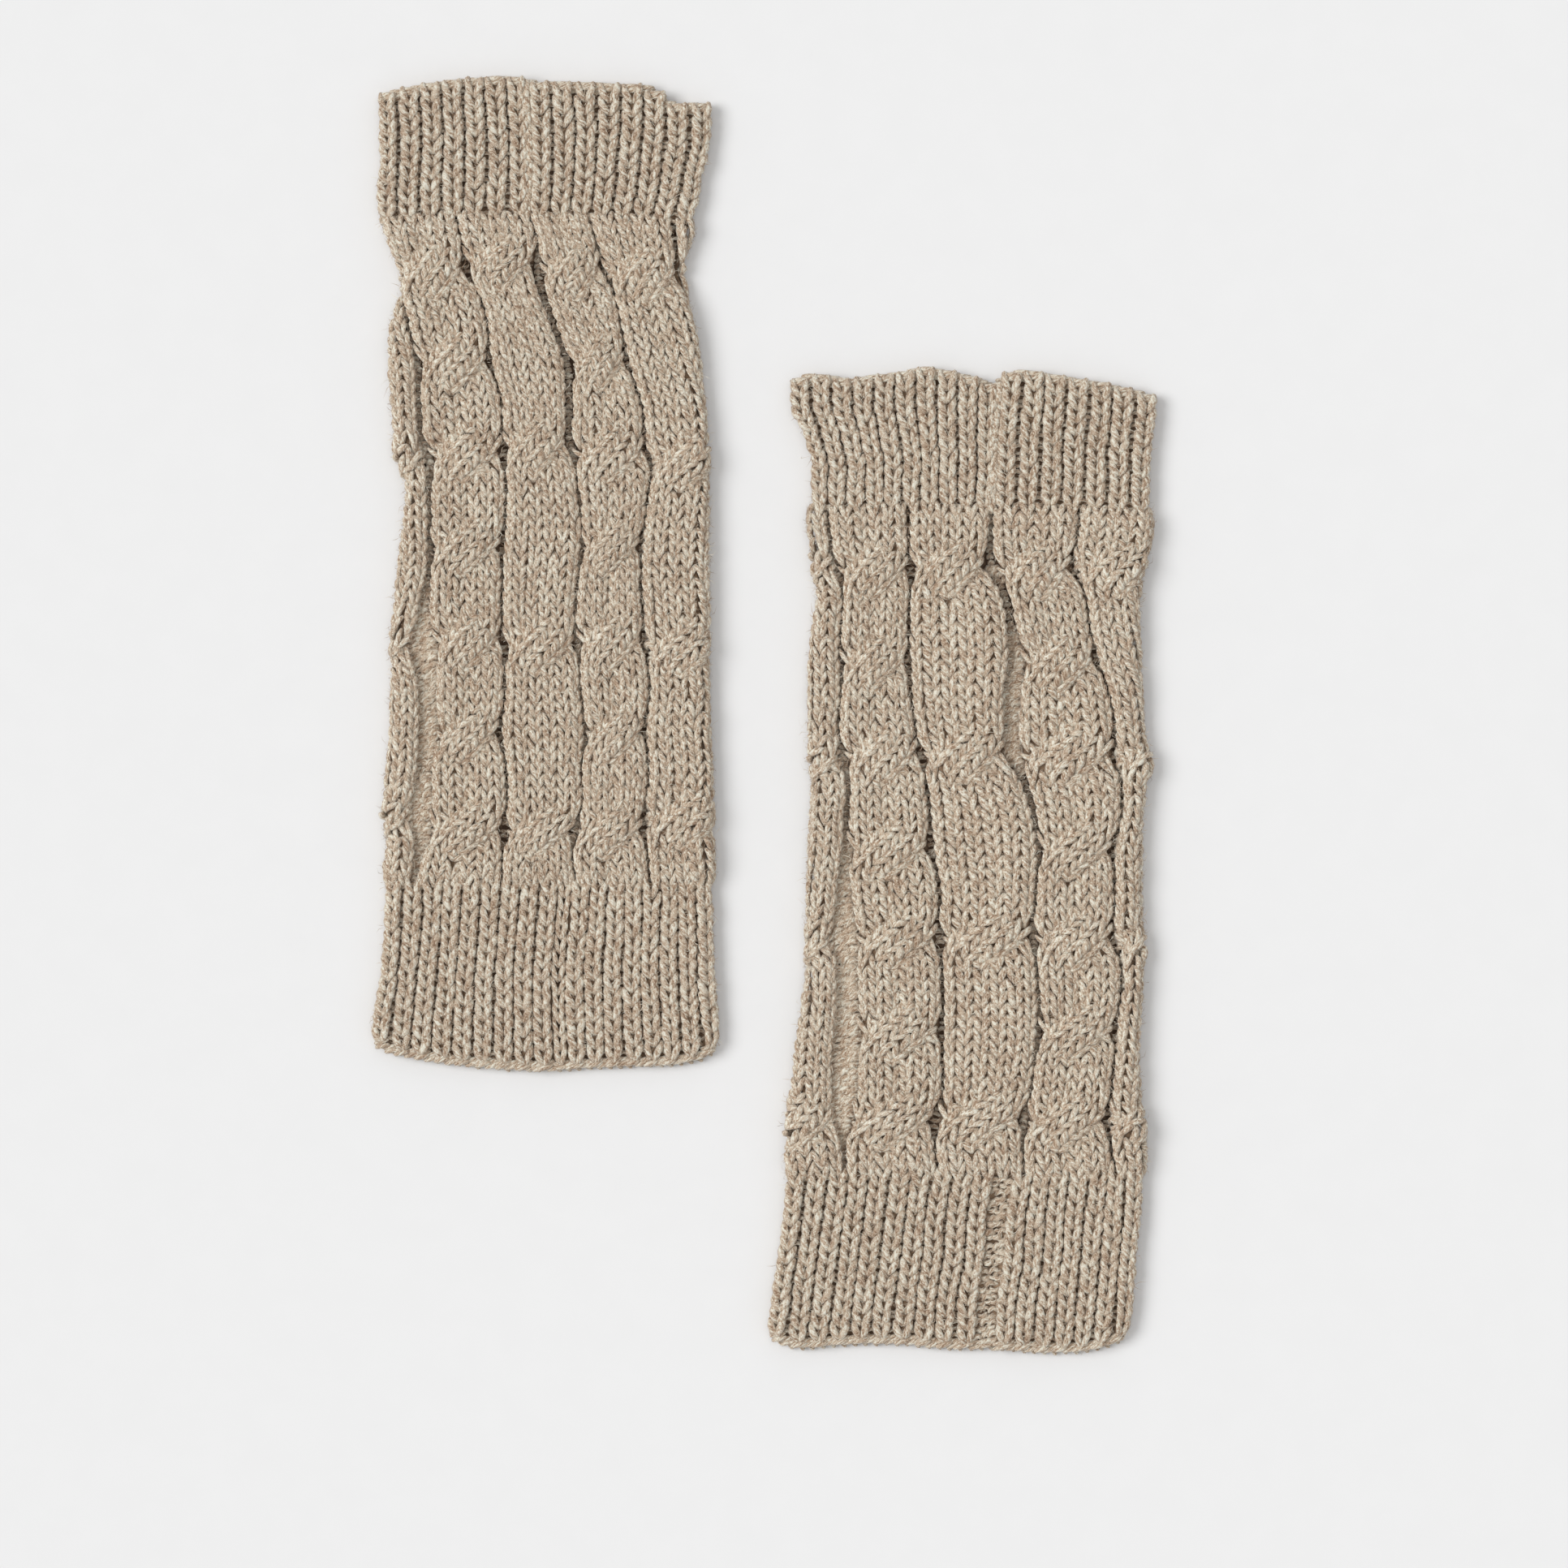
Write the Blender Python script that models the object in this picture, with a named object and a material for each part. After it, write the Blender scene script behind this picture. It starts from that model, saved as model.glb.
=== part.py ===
"""A pair of cable-knit leg warmers, laid flat side by side.

Each leg warmer is a knitted tube: a short ribbed cuff, a body of rope cables between purl valleys, and a
longer ribbed cuff. The tube lies flat, so its lower wall rests on the surface, its upper wall lies on the
lower one with a thin slit between them, and both ends are open. The upper wall carries the ribs and the
cables over a plain inside.

Sizes are in millimetres in the tables and constants, and in metres in the scene. For each leg warmer
"across" runs from its own axis to the right, and "down" runs from the top edge towards the lower cuff.
"""

import math
from collections import namedtuple

import bmesh
import bpy

MM = 0.001
SEAM_GAP = 0.3

# Heights above the surface that the pair lies on
BACK_WALL = 3.2
SLIT = 1.2
VALLEY_TOP = 6.6
PANEL_RISE = 2.6
STRAND_LIFT = 1.5
STRAND_DIP = 0.9
GROOVE_DEPTH = 0.9
RIB_VALLEY_TOP = 6.8
RIB_RISE = 1.7
SEAM_GROOVE = 1.0
FOLD_MIDDLE = 3.9

# The folds at the two sides
FOLD_WALL = 4.0
FOLD_ROUND = 4.6
FOLD_FOOT = 3.4
FOLD_HEEL = 0.9
FOLD_HEEL_HEIGHT = 1.5

# Across a cable panel: where its points stand, from its left valley (0) to its right valley (1)
PANEL_STEPS = (0.04, 0.16, 0.32, 0.5, 0.68, 0.84, 0.96)
FOLD_PANEL_STEPS = (0.2, 0.45, 0.7, 0.94)
SEEN_FOLD_PANEL = 1.0
HIDDEN_SHARE_LEFT = 0.62
HIDDEN_SHARE_RIGHT = 0.14
STRAND_REACH = 0.29
STRAND_LEFT = 0.25
STRAND_RIGHT = 0.75
PLAIN_PANEL_POWER = 0.35
CROSSING_HALF_LENGTH = 11.5
NARROW_VALLEY = 1.8
RELIEF_FADE = 7.0
RELIEF_AT_CUFF = 0.35
VALLEY_A_STANDS = (-0.35, 0.35)
VALLEY_C_STANDS = (-0.3, 0.3)

# Across a rib: where its crest starts and ends, from one groove (0) to the next (1)
RIB_CREST = (0.3, 0.7)

# Along the body: sections before and after each row of crossings
CROSSING_STEPS = (-10.5, -6.5, -2.2, 2.2, 6.5, 10.5, 19.0)
FIRST_SECTIONS = (5.0, 10.0)
LAST_SECTION_ROOM = 4.0
CUFF_SECTIONS = 6
UNDERSIDE_POINTS = 4
INNER_STEP = 3
SMOOTH_ANGLE = math.radians(50.0)

# How far the curve of each end reaches into the tube
TOP_BOW_REACH = 85.0
BOTTOM_BOW_REACH = 95.0

EdgePoint = namedtuple("EdgePoint", "across down")
CuffRow = namedtuple("CuffRow", "down left seam right")
BodyRow = namedtuple("BodyRow", "down left valley_a wide_a valley_b valley_c wide_c valley_d right")
Leg = namedtuple(
    "Leg",
    "name datum_x datum_y length top_edge bottom_edge upper_cuff body lower_cuff"
    " upper_ribs lower_ribs tight_crossings long_crossings edge_crossings",
)

LEFT_LEG = Leg(
    name="left",
    datum_x=-90.2,
    datum_y=262.0,
    length=408.0,
    top_edge=(
        EdgePoint(-69.3, 8.0), EdgePoint(-60.7, 5.3), EdgePoint(-50.7, 3.3), EdgePoint(-40.7, 1.7),
        EdgePoint(-20.7, 0.0), EdgePoint(-10.7, 0.3), EdgePoint(-5.7, 1.7), EdgePoint(9.3, 2.0),
        EdgePoint(29.3, 3.0), EdgePoint(44.3, 5.3), EdgePoint(50.0, 10.0), EdgePoint(59.3, 10.7),
        EdgePoint(68.7, 11.3),
    ),
    bottom_edge=(
        EdgePoint(-71.0, 397.0), EdgePoint(-65.7, 400.0), EdgePoint(-55.7, 402.7), EdgePoint(-40.7, 405.3),
        EdgePoint(-20.7, 407.3), EdgePoint(-2.3, 408.3), EdgePoint(19.3, 407.3), EdgePoint(39.3, 406.3),
        EdgePoint(54.3, 405.7), EdgePoint(64.3, 403.3), EdgePoint(70.7, 399.3),
    ),
    upper_cuff=(
        CuffRow(0.0, -69.0, -7.5, 68.7),
        CuffRow(12.0, -69.3, -7.0, 68.7),
        CuffRow(28.7, -68.7, -6.0, 68.0),
        CuffRow(40.3, -69.3, -6.0, 65.3),
        CuffRow(48.7, -70.0, -6.3, 64.0),
        CuffRow(57.0, -69.5, -6.7, 61.5),
    ),
    body=(
        BodyRow(56.0, -69.7, -67.4, 1.2, -37.0, -6.7, 1.7, 16.7, 61.7),
        BodyRow(68.7, -64.9, -63.0, 1.2, -34.7, -3.0, 1.7, 20.7, 58.0),
        BodyRow(82.0, -60.8, -58.8, 1.2, -31.7, -3.0, 4.0, 25.0, 56.3),
        BodyRow(92.0, -59.6, -57.2, 1.2, -26.3, -0.3, 4.0, 29.0, 58.3),
        BodyRow(102.0, -61.7, -56.3, 2.0, -24.0, 3.0, 4.0, 30.7, 60.7),
        BodyRow(118.7, -63.0, -53.0, 2.7, -22.3, 9.0, 4.0, 34.3, 62.7),
        BodyRow(135.3, -62.0, -52.3, 2.7, -17.7, 9.7, 4.0, 39.3, 64.0),
        BodyRow(148.7, -60.7, -50.8, 2.7, -17.5, 10.0, 3.0, 40.7, 65.3),
        BodyRow(160.3, -58.0, -47.5, 2.7, -17.0, 12.0, 1.7, 43.0, 65.7),
        BodyRow(168.7, -55.9, -48.0, 2.7, -16.5, 13.3, 1.7, 42.5, 65.3),
        BodyRow(185.3, -57.3, -47.7, 2.7, -17.0, 15.0, 1.7, 40.3, 65.7),
        BodyRow(202.0, -59.0, -47.8, 2.7, -18.0, 13.7, 1.7, 39.0, 66.0),
        BodyRow(218.7, -61.0, -50.0, 6.0, -18.0, 12.0, 1.7, 40.0, 66.0),
        BodyRow(235.3, -61.7, -50.0, 11.0, -17.0, 13.3, 1.7, 41.0, 65.7),
        BodyRow(252.0, -62.0, -48.4, 8.0, -17.0, 14.3, 1.7, 42.3, 65.7),
        BodyRow(268.7, -62.3, -48.4, 8.0, -18.3, 16.3, 1.7, 41.0, 66.3),
        BodyRow(285.3, -63.7, -49.7, 7.0, -16.3, 14.7, 1.7, 42.0, 67.0),
        BodyRow(302.0, -64.7, -51.0, 9.0, -16.3, 14.7, 1.7, 40.7, 67.7),
        BodyRow(313.7, -63.6, -51.3, 6.0, -17.3, 11.0, 1.7, 41.3, 67.7),
        BodyRow(332.0, -66.0, -54.7, 3.0, -18.0, 12.0, 1.7, 42.7, 68.7),
    ),
    lower_cuff=(
        CuffRow(331.0, -66.0, 8.3, 68.7),
        CuffRow(352.0, -67.0, 6.7, 69.7),
        CuffRow(368.7, -68.7, 5.3, 70.3),
        CuffRow(385.3, -71.3, 5.5, 71.3),
        CuffRow(393.7, -71.7, 5.8, 71.7),
        CuffRow(398.7, -70.8, 6.0, 70.7),
        CuffRow(408.0, -69.5, 6.0, 69.5),
    ),
    upper_ribs=(7, 8),
    lower_ribs=(9, 8),
    tight_crossings=(80.3, 117.5, 155.3, 193.7, 232.3, 270.6, 309.6),
    long_crossings=(77.0, 152.0, 233.7, 310.3),
    edge_crossings=(82.0, 158.5, 235.0, 306.0),
)

RIGHT_LEG = Leg(
    name="right",
    datum_x=85.8,
    datum_y=142.7,
    length=402.0,
    top_edge=(
        EdgePoint(-75.0, 7.7), EdgePoint(-70.0, 3.7), EdgePoint(-63.3, 3.0), EdgePoint(-50.0, 5.0),
        EdgePoint(-40.0, 3.0), EdgePoint(-30.0, 2.3), EdgePoint(-20.0, 0.0), EdgePoint(-10.0, 1.7),
        EdgePoint(0.0, 4.3), EdgePoint(9.5, 7.0), EdgePoint(15.3, 2.3), EdgePoint(30.0, 2.7),
        EdgePoint(40.0, 4.3), EdgePoint(55.0, 7.0), EdgePoint(66.7, 9.7), EdgePoint(75.7, 13.0),
    ),
    bottom_edge=(
        EdgePoint(-84.0, 398.7), EdgePoint(-75.0, 402.3), EdgePoint(-55.0, 401.7), EdgePoint(-30.0, 401.3),
        EdgePoint(-10.0, 403.0), EdgePoint(10.0, 403.3), EdgePoint(30.0, 404.7), EdgePoint(45.0, 404.3),
        EdgePoint(55.0, 402.0), EdgePoint(62.3, 399.3),
    ),
    upper_cuff=(
        CuffRow(0.0, -75.0, 11.0, 74.7),
        CuffRow(12.7, -75.7, 10.5, 75.3),
        CuffRow(22.7, -74.3, 9.7, 75.3),
        CuffRow(31.0, -70.2, 9.2, 74.3),
        CuffRow(39.0, -67.3, 8.9, 73.3),
        CuffRow(49.3, -67.6, 8.5, 73.3),
        CuffRow(59.0, -67.3, 8.2, 72.7),
    ),
    body=(
        BodyRow(58.0, -67.3, -60.7, 1.8, -27.3, 7.0, 1.7, 43.3, 72.7),
        BodyRow(69.3, -66.3, -59.7, 1.8, -27.3, 6.7, 2.7, 42.0, 72.0),
        BodyRow(82.7, -64.3, -56.7, 1.8, -26.3, 7.7, 4.7, 40.7, 69.3),
        BodyRow(94.3, -62.9, -54.0, 1.8, -26.7, 12.7, 4.0, 45.7, 66.9),
        BodyRow(106.0, -64.7, -54.7, 1.8, -27.3, 15.0, 4.5, 47.3, 66.7),
        BodyRow(118.0, -65.8, -55.2, 1.8, -27.0, 16.7, 6.7, 50.0, 67.0),
        BodyRow(132.7, -66.3, -54.9, 1.8, -26.4, 15.7, 7.3, 55.0, 67.7),
        BodyRow(149.3, -66.2, -55.8, 2.0, -24.0, 15.3, 6.7, 57.5, 68.3),
        BodyRow(162.7, -65.0, -53.2, 2.2, -21.3, 17.0, 5.3, 58.3, 70.0),
        BodyRow(172.7, -64.8, -51.9, 2.5, -19.7, 21.5, 3.3, 60.6, 69.4),
        BodyRow(182.7, -65.6, -52.6, 3.0, -18.7, 24.5, 2.7, 60.4, 68.4),
        BodyRow(199.3, -66.3, -53.0, 4.0, -17.4, 26.0, 1.7, 57.5, 67.7),
        BodyRow(216.0, -67.0, -53.8, 7.0, -14.4, 25.0, 1.7, 57.7, 67.4),
        BodyRow(232.7, -66.9, -53.3, 10.5, -14.4, 24.4, 1.7, 57.4, 67.6),
        BodyRow(249.3, -67.4, -52.4, 9.0, -13.3, 25.8, 1.7, 60.5, 68.0),
        BodyRow(266.0, -69.6, -52.4, 10.0, -13.0, 26.5, 1.7, 59.0, 67.1),
        BodyRow(282.7, -72.2, -53.1, 11.0, -13.2, 25.2, 1.7, 57.5, 66.8),
        BodyRow(299.3, -74.0, -53.3, 11.0, -13.8, 22.7, 1.7, 56.0, 67.0),
        BodyRow(312.7, -74.8, -54.2, 5.0, -16.5, 20.0, 1.7, 55.2, 68.1),
        BodyRow(331.5, -76.8, -53.0, 2.5, -14.7, 20.3, 1.7, 58.0, 70.0),
    ),
    lower_cuff=(
        CuffRow(330.0, -76.8, 12.5, 70.3),
        CuffRow(349.3, -79.0, 9.3, 69.0),
        CuffRow(366.0, -81.7, 8.3, 67.3),
        CuffRow(382.7, -83.7, 5.5, 66.3),
        CuffRow(394.3, -85.0, 4.7, 64.3),
        CuffRow(399.3, -84.2, 4.5, 62.3),
        CuffRow(406.0, -83.0, 4.5, 61.0),
    ),
    upper_ribs=(10, 7),
    lower_ribs=(10, 7),
    tight_crossings=(84.3, 121.6, 160.2, 198.4, 236.0, 273.5, 310.0),
    long_crossings=(82.7, 159.3, 235.0, 308.7),
    edge_crossings=(83.2, 161.8, 237.0, 310.5),
)

UPPER_CUFF_END = 56.5
LOWER_CUFF_START = 331.5


def clamp(value, low=0.0, high=1.0):
    """Returns the value, kept between two limits."""
    return max(low, min(high, value))


def ease(value):
    """Runs smoothly from 0 to 1 as the value does."""
    share = clamp(value)
    return share * share * (3.0 - 2.0 * share)


def read_table(rows, key, column, place):
    """Reads one column of a table at a place along its key column, on a smooth curve through the rows."""
    last = len(rows) - 1
    keys = [getattr(row, key) for row in rows]
    values = [getattr(row, column) for row in rows]
    if place <= keys[0]:
        return values[0]
    if place >= keys[last]:
        return values[last]
    first = max(index for index in range(last) if keys[index] <= place)
    span = keys[first + 1] - keys[first]
    share = (place - keys[first]) / span

    def slope(index):
        before = max(index - 1, 0)
        after = min(index + 1, last)
        return (values[after] - values[before]) / (keys[after] - keys[before]) * span

    square = share * share
    cube = square * share
    return (
        (2.0 * cube - 3.0 * square + 1.0) * values[first]
        + (cube - 2.0 * square + share) * slope(first)
        + (3.0 * square - 2.0 * cube) * values[first + 1]
        + (cube - square) * slope(first + 1)
    )


def bowed(leg, down, across):
    """Returns how far below the datum a point lies, once the curves of both ends are let in."""
    top = read_table(leg.top_edge, "across", "down", across)
    bottom = read_table(leg.bottom_edge, "across", "down", across) - leg.length
    top_share = 1.0 - ease(down / TOP_BOW_REACH)
    bottom_share = ease((down - leg.length + BOTTOM_BOW_REACH) / BOTTOM_BOW_REACH)
    return down + top * top_share + bottom * bottom_share


def column(leg, rows, name, down):
    """Returns where a column of the table stands, read at the point's own bowed place."""
    rough = read_table(rows, "down", name, down)
    return read_table(rows, "down", name, bowed(leg, down, rough))


def panel_height(share, down, crossings, tight):
    """Returns the rise of a cable panel above its valleys, from 0 to about 1.5.

    Two strands lie side by side. At a crossing the one that comes from the right passes over to the left,
    and the other passes under it.
    """
    centre = min(crossings, key=lambda place: abs(place - down))
    along = clamp((down - centre) / CROSSING_HALF_LENGTH, -1.0, 1.0)
    passed = ease((along + 1.0) / 2.0)
    crossing = math.cos(along * math.pi / 2.0) ** 2
    over_centre = STRAND_RIGHT + (STRAND_LEFT - STRAND_RIGHT) * passed
    under_centre = STRAND_LEFT + (STRAND_RIGHT - STRAND_LEFT) * passed

    def dome(middle):
        reach = (share - middle) / STRAND_REACH
        return math.sqrt(1.0 - reach * reach) if abs(reach) < 1.0 else 0.0

    lift = STRAND_LIFT / PANEL_RISE
    dip = STRAND_DIP / PANEL_RISE
    over = dome(over_centre) * (1.0 + lift * crossing)
    under = dome(under_centre) * (1.0 - dip * crossing)
    strands = max(over, under)
    plain = (4.0 * share * (1.0 - share)) ** PLAIN_PANEL_POWER
    groove = 0.0 if tight else 1.0 - crossing
    return strands + (max(plain, strands) - strands) * groove


def fold_height(height, inset):
    """Lets a height fall to the middle of the fold as a point nears the side."""
    share = clamp(inset / FOLD_ROUND)
    crown = math.sqrt(1.0 - (1.0 - share) ** 2)
    return FOLD_MIDDLE + (height - FOLD_MIDDLE) * crown


def underside(left, right):
    """Returns the ring's points from the right fold under the tube to the left fold."""
    points = [(right - FOLD_HEEL, FOLD_HEEL_HEIGHT)]
    first = right - FOLD_FOOT
    reach = left + FOLD_FOOT - first
    steps = UNDERSIDE_POINTS + 1
    points += [(first + reach * step / steps, 0.0) for step in range(steps + 1)]
    points.append((left + FOLD_HEEL, FOLD_HEEL_HEIGHT))
    return points


def body_ring(leg, down):
    """Returns the cabled body's section: its left side, top, right side and underside, in order."""
    rows = leg.body
    place = {name: column(leg, rows, name, down) for name in BodyRow._fields[1:]}
    left = place["left"]
    right = place["right"]
    half_a = place["wide_a"] / 2.0
    half_c = place["wide_c"] / 2.0
    half_narrow = NARROW_VALLEY / 2.0
    edge_in = max(place["valley_a"] - half_a, left + SEEN_FOLD_PANEL)
    fade = ease((down - UPPER_CUFF_END) / RELIEF_FADE + RELIEF_AT_CUFF)
    fade *= ease((LOWER_CUFF_START - down) / RELIEF_FADE + RELIEF_AT_CUFF)

    def rise(share, crossings, tight):
        return VALLEY_TOP + PANEL_RISE * fade * panel_height(share, down, crossings, tight)

    def panel(start, end, crossings, tight, low=0.0, high=1.0, steps=PANEL_STEPS):
        points = []
        for step in steps:
            across = start + (end - start) * step
            points.append((across, rise(low + (high - low) * step, crossings, tight)))
        return points

    top = panel(left, edge_in, leg.edge_crossings, False, HIDDEN_SHARE_LEFT, 1.0, FOLD_PANEL_STEPS)
    floor_a = (edge_in + place["valley_a"] + half_a) / 2.0
    top += [(floor_a + stand * place["wide_a"], VALLEY_TOP) for stand in VALLEY_A_STANDS]
    top += panel(place["valley_a"] + half_a, place["valley_b"] - half_narrow, leg.tight_crossings, True)
    top.append((place["valley_b"], VALLEY_TOP - GROOVE_DEPTH))
    top += panel(place["valley_b"] + half_narrow, place["valley_c"] - half_c, leg.long_crossings, False)
    for stand in VALLEY_C_STANDS:
        top.append((place["valley_c"] + stand * place["wide_c"], VALLEY_TOP - GROOVE_DEPTH))
    top += panel(place["valley_c"] + half_c, place["valley_d"] - half_narrow, leg.tight_crossings, True)
    top.append((place["valley_d"], VALLEY_TOP - GROOVE_DEPTH))
    top += panel(
        place["valley_d"] + half_narrow, right, leg.edge_crossings, False, 0.0, 1.0 - HIDDEN_SHARE_RIGHT
    )
    points = [(left, FOLD_MIDDLE)]
    points += [(across, fold_height(height, min(across - left, right - across))) for across, height in top]
    points.append((right, FOLD_MIDDLE))
    return points + underside(left, right)


def cuff_ring(leg, rows, ribs, down):
    """Returns a cuff's section: equal ribs on each side of the seam, in the same order as the body's."""
    left = column(leg, rows, "left", down)
    seam = column(leg, rows, "seam", down)
    right = column(leg, rows, "right", down)
    top = []
    for start, end, count in ((left, seam, ribs[0]), (seam, right, ribs[1])):
        pitch = (end - start) / count
        for rib in range(count):
            base = start + rib * pitch
            groove = SEAM_GROOVE if rib == 0 else 0.0
            top.append((base, RIB_VALLEY_TOP - groove))
            top += [(base + crest * pitch, RIB_VALLEY_TOP + RIB_RISE) for crest in RIB_CREST]
    points = [(left, FOLD_MIDDLE)]
    for across, height in top[1:]:
        points.append((across, fold_height(height, min(across - left, right - across))))
    points.append((right, FOLD_MIDDLE))
    return points + underside(left, right)


def inner_ring(ring):
    """Returns the plain slit inside a section, point for point."""
    left = min(across for across, _ in ring)
    right = max(across for across, _ in ring)
    share = (right - left - 2.0 * FOLD_WALL) / (right - left)
    top_end = max(range(len(ring)), key=lambda index: ring[index][0])
    points = []
    for index, (across, _) in enumerate(ring):
        height = BACK_WALL + SLIT if index < top_end else BACK_WALL
        if index in (0, top_end):
            height = BACK_WALL + SLIT / 2.0
        points.append((left + FOLD_WALL + (across - left) * share, height))
    return points


def add_ring(mesh, leg, down, ring):
    """Adds a section's points to the mesh and returns its vertices."""
    vertices = []
    for across, height in ring:
        x = leg.datum_x + across
        y = leg.datum_y - bowed(leg, down, across)
        vertices.append(mesh.verts.new((x * MM, y * MM, height * MM)))
    return vertices


def bridge(mesh, ring_a, ring_b):
    """Fills the band between two closed rings, the first of which has a whole number of points per other."""
    ratio = len(ring_a) // len(ring_b)
    for index, corner in enumerate(ring_b):
        next_corner = ring_b[(index + 1) % len(ring_b)]
        run = [ring_a[(index * ratio + step) % len(ring_a)] for step in range(ratio + 1)]
        if ratio == 1:
            mesh.faces.new((run[0], run[1], corner))
            mesh.faces.new((run[1], next_corner, corner))
            continue
        middle = (ratio + 1) // 2
        for step in range(ratio):
            tip = corner if step < middle else next_corner
            mesh.faces.new((run[step], run[step + 1], tip))
        mesh.faces.new((run[middle], next_corner, corner))


def add_tube(name, leg, sections, make_ring, material, collection):
    """Adds one open-ended piece of the tube, lofted through its sections, as a closed solid."""
    mesh = bmesh.new()
    outer = [add_ring(mesh, leg, down, make_ring(down)) for down in sections]
    inner_places = [sections[0], *sections[1:-1:2], sections[-1]]
    inner = []
    for order, down in enumerate(inner_places):
        ring = inner_ring(make_ring(down))
        is_mouth = order in (0, len(inner_places) - 1)
        inner.append(add_ring(mesh, leg, down, ring if is_mouth else ring[::INNER_STEP]))
    for upper, lower in zip(outer, outer[1:]):
        bridge(mesh, upper, lower)
    for upper, lower in zip(inner, inner[1:]):
        if len(upper) >= len(lower):
            bridge(mesh, upper, lower)
        else:
            bridge(mesh, lower, upper)
    bridge(mesh, outer[0], inner[0])
    bridge(mesh, outer[-1], inner[-1])
    bmesh.ops.recalc_face_normals(mesh, faces=mesh.faces[:])
    data = bpy.data.meshes.new(name)
    mesh.to_mesh(data)
    mesh.free()
    data.shade_smooth()
    data.set_sharp_from_angle(angle=SMOOTH_ANGLE)
    data.materials.append(material)
    piece = bpy.data.objects.new(name, data)
    collection.objects.link(piece)
    return piece


def yarn_material(name, colour):
    """Returns a matt wool-mix finish."""
    material = bpy.data.materials.new(name)
    material.use_nodes = True
    shader = material.node_tree.nodes["Principled BSDF"]
    shader.inputs["Base Color"].default_value = (*colour, 1.0)
    shader.inputs["Roughness"].default_value = 0.95
    shader.inputs["Metallic"].default_value = 0.0
    shader.inputs["Sheen Weight"].default_value = 0.3
    return material


def spread(start, end, count):
    """Returns evenly spaced places from start to end."""
    return [start + (end - start) * step / (count - 1) for step in range(count)]


def body_sections(leg):
    """Returns the places of the body's sections, close together where its strands cross."""
    start = UPPER_CUFF_END + SEAM_GAP / 2.0
    end = LOWER_CUFF_START - SEAM_GAP / 2.0
    places = [start] + [start + step for step in FIRST_SECTIONS]
    for centre in leg.tight_crossings:
        places += [centre + step for step in CROSSING_STEPS]
    places = [place for place in places if start <= place < end - LAST_SECTION_ROOM]
    return sorted(places) + [end]


def build_leg(leg, collection):
    """Builds one leg warmer: two ribbed cuffs and the cabled body between them."""
    rib_colour = (0.40, 0.31, 0.235)
    body_colour = (0.46, 0.37, 0.285)
    add_tube(
        leg.name + "_upper_cuff",
        leg,
        spread(0.0, UPPER_CUFF_END - SEAM_GAP / 2.0, CUFF_SECTIONS),
        lambda down: cuff_ring(leg, leg.upper_cuff, leg.upper_ribs, down),
        yarn_material(leg.name + "_upper_rib_yarn", rib_colour),
        collection,
    )
    add_tube(
        leg.name + "_cable_body",
        leg,
        body_sections(leg),
        lambda down: body_ring(leg, down),
        yarn_material(leg.name + "_cable_yarn", body_colour),
        collection,
    )
    add_tube(
        leg.name + "_lower_cuff",
        leg,
        spread(LOWER_CUFF_START + SEAM_GAP / 2.0, leg.length, CUFF_SECTIONS),
        lambda down: cuff_ring(leg, leg.lower_cuff, leg.lower_ribs, down),
        yarn_material(leg.name + "_lower_rib_yarn", rib_colour),
        collection,
    )


def clear_scene():
    """Removes what the scene starts with."""
    for item in list(bpy.context.scene.objects):
        bpy.data.objects.remove(item, do_unlink=True)


def main():
    """Builds the pair in a collection of its own."""
    clear_scene()
    collection = bpy.data.collections.new("Leg warmers")
    bpy.context.scene.collection.children.link(collection)
    for leg in (LEFT_LEG, RIGHT_LEG):
        build_leg(leg, collection)


main()
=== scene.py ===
"""Looks of a pair of cable-knit leg warmers, laid flat on a pale floor and seen from straight above.

Each leg warmer is a knitted tube that lies flat: an upper ribbed cuff, a cabled body and a lower ribbed cuff.
A thin cloth has the form of each of the three, and the stitches are laid on it one by one: two plump
strands of yarn for a knit stitch, a head and a foot for a purl stitch, and chains along both open edges.

Tables and sizes are in millimetres. "across" runs from a leg warmer's own axis to the right, "down" from
its top edge towards the lower cuff, and "along" round the flattened tube, from the left fold over the top.
A "wale" is a column of stitches and a "row" is one round of them. A "rise" is a height above the base, which
is the yarn's middle in flat cloth.
"""

import math
from collections import namedtuple

import bpy
import numpy as np
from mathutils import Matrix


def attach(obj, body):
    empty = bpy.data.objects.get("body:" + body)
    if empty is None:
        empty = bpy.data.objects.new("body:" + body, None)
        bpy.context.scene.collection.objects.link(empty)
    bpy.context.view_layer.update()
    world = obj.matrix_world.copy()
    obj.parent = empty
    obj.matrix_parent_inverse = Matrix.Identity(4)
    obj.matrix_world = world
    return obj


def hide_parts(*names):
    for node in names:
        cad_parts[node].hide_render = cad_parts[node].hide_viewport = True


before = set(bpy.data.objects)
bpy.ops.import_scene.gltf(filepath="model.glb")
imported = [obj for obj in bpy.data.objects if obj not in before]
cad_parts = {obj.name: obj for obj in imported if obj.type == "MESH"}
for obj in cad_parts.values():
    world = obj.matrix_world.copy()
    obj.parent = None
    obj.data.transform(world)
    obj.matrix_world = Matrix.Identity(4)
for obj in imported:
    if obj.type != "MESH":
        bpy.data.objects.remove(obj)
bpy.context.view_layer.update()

MM = 0.001

# The photograph: a third of a millimetre for each pixel, with the pair's middle off the frame's middle
FRAME_WIDTH = 644.0
FRAME_MIDDLE = (7.83, -28.67)

# The lens and the floor, in metres. The photograph's scale holds at the top of the cloth.
CAMERA_HEIGHT = 4.0
CLOTH_TOP = 0.007
SENSOR_WIDTH = 36.0
FLOOR_HALF = 3.0
FLOOR_DROP = 0.0002

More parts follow.
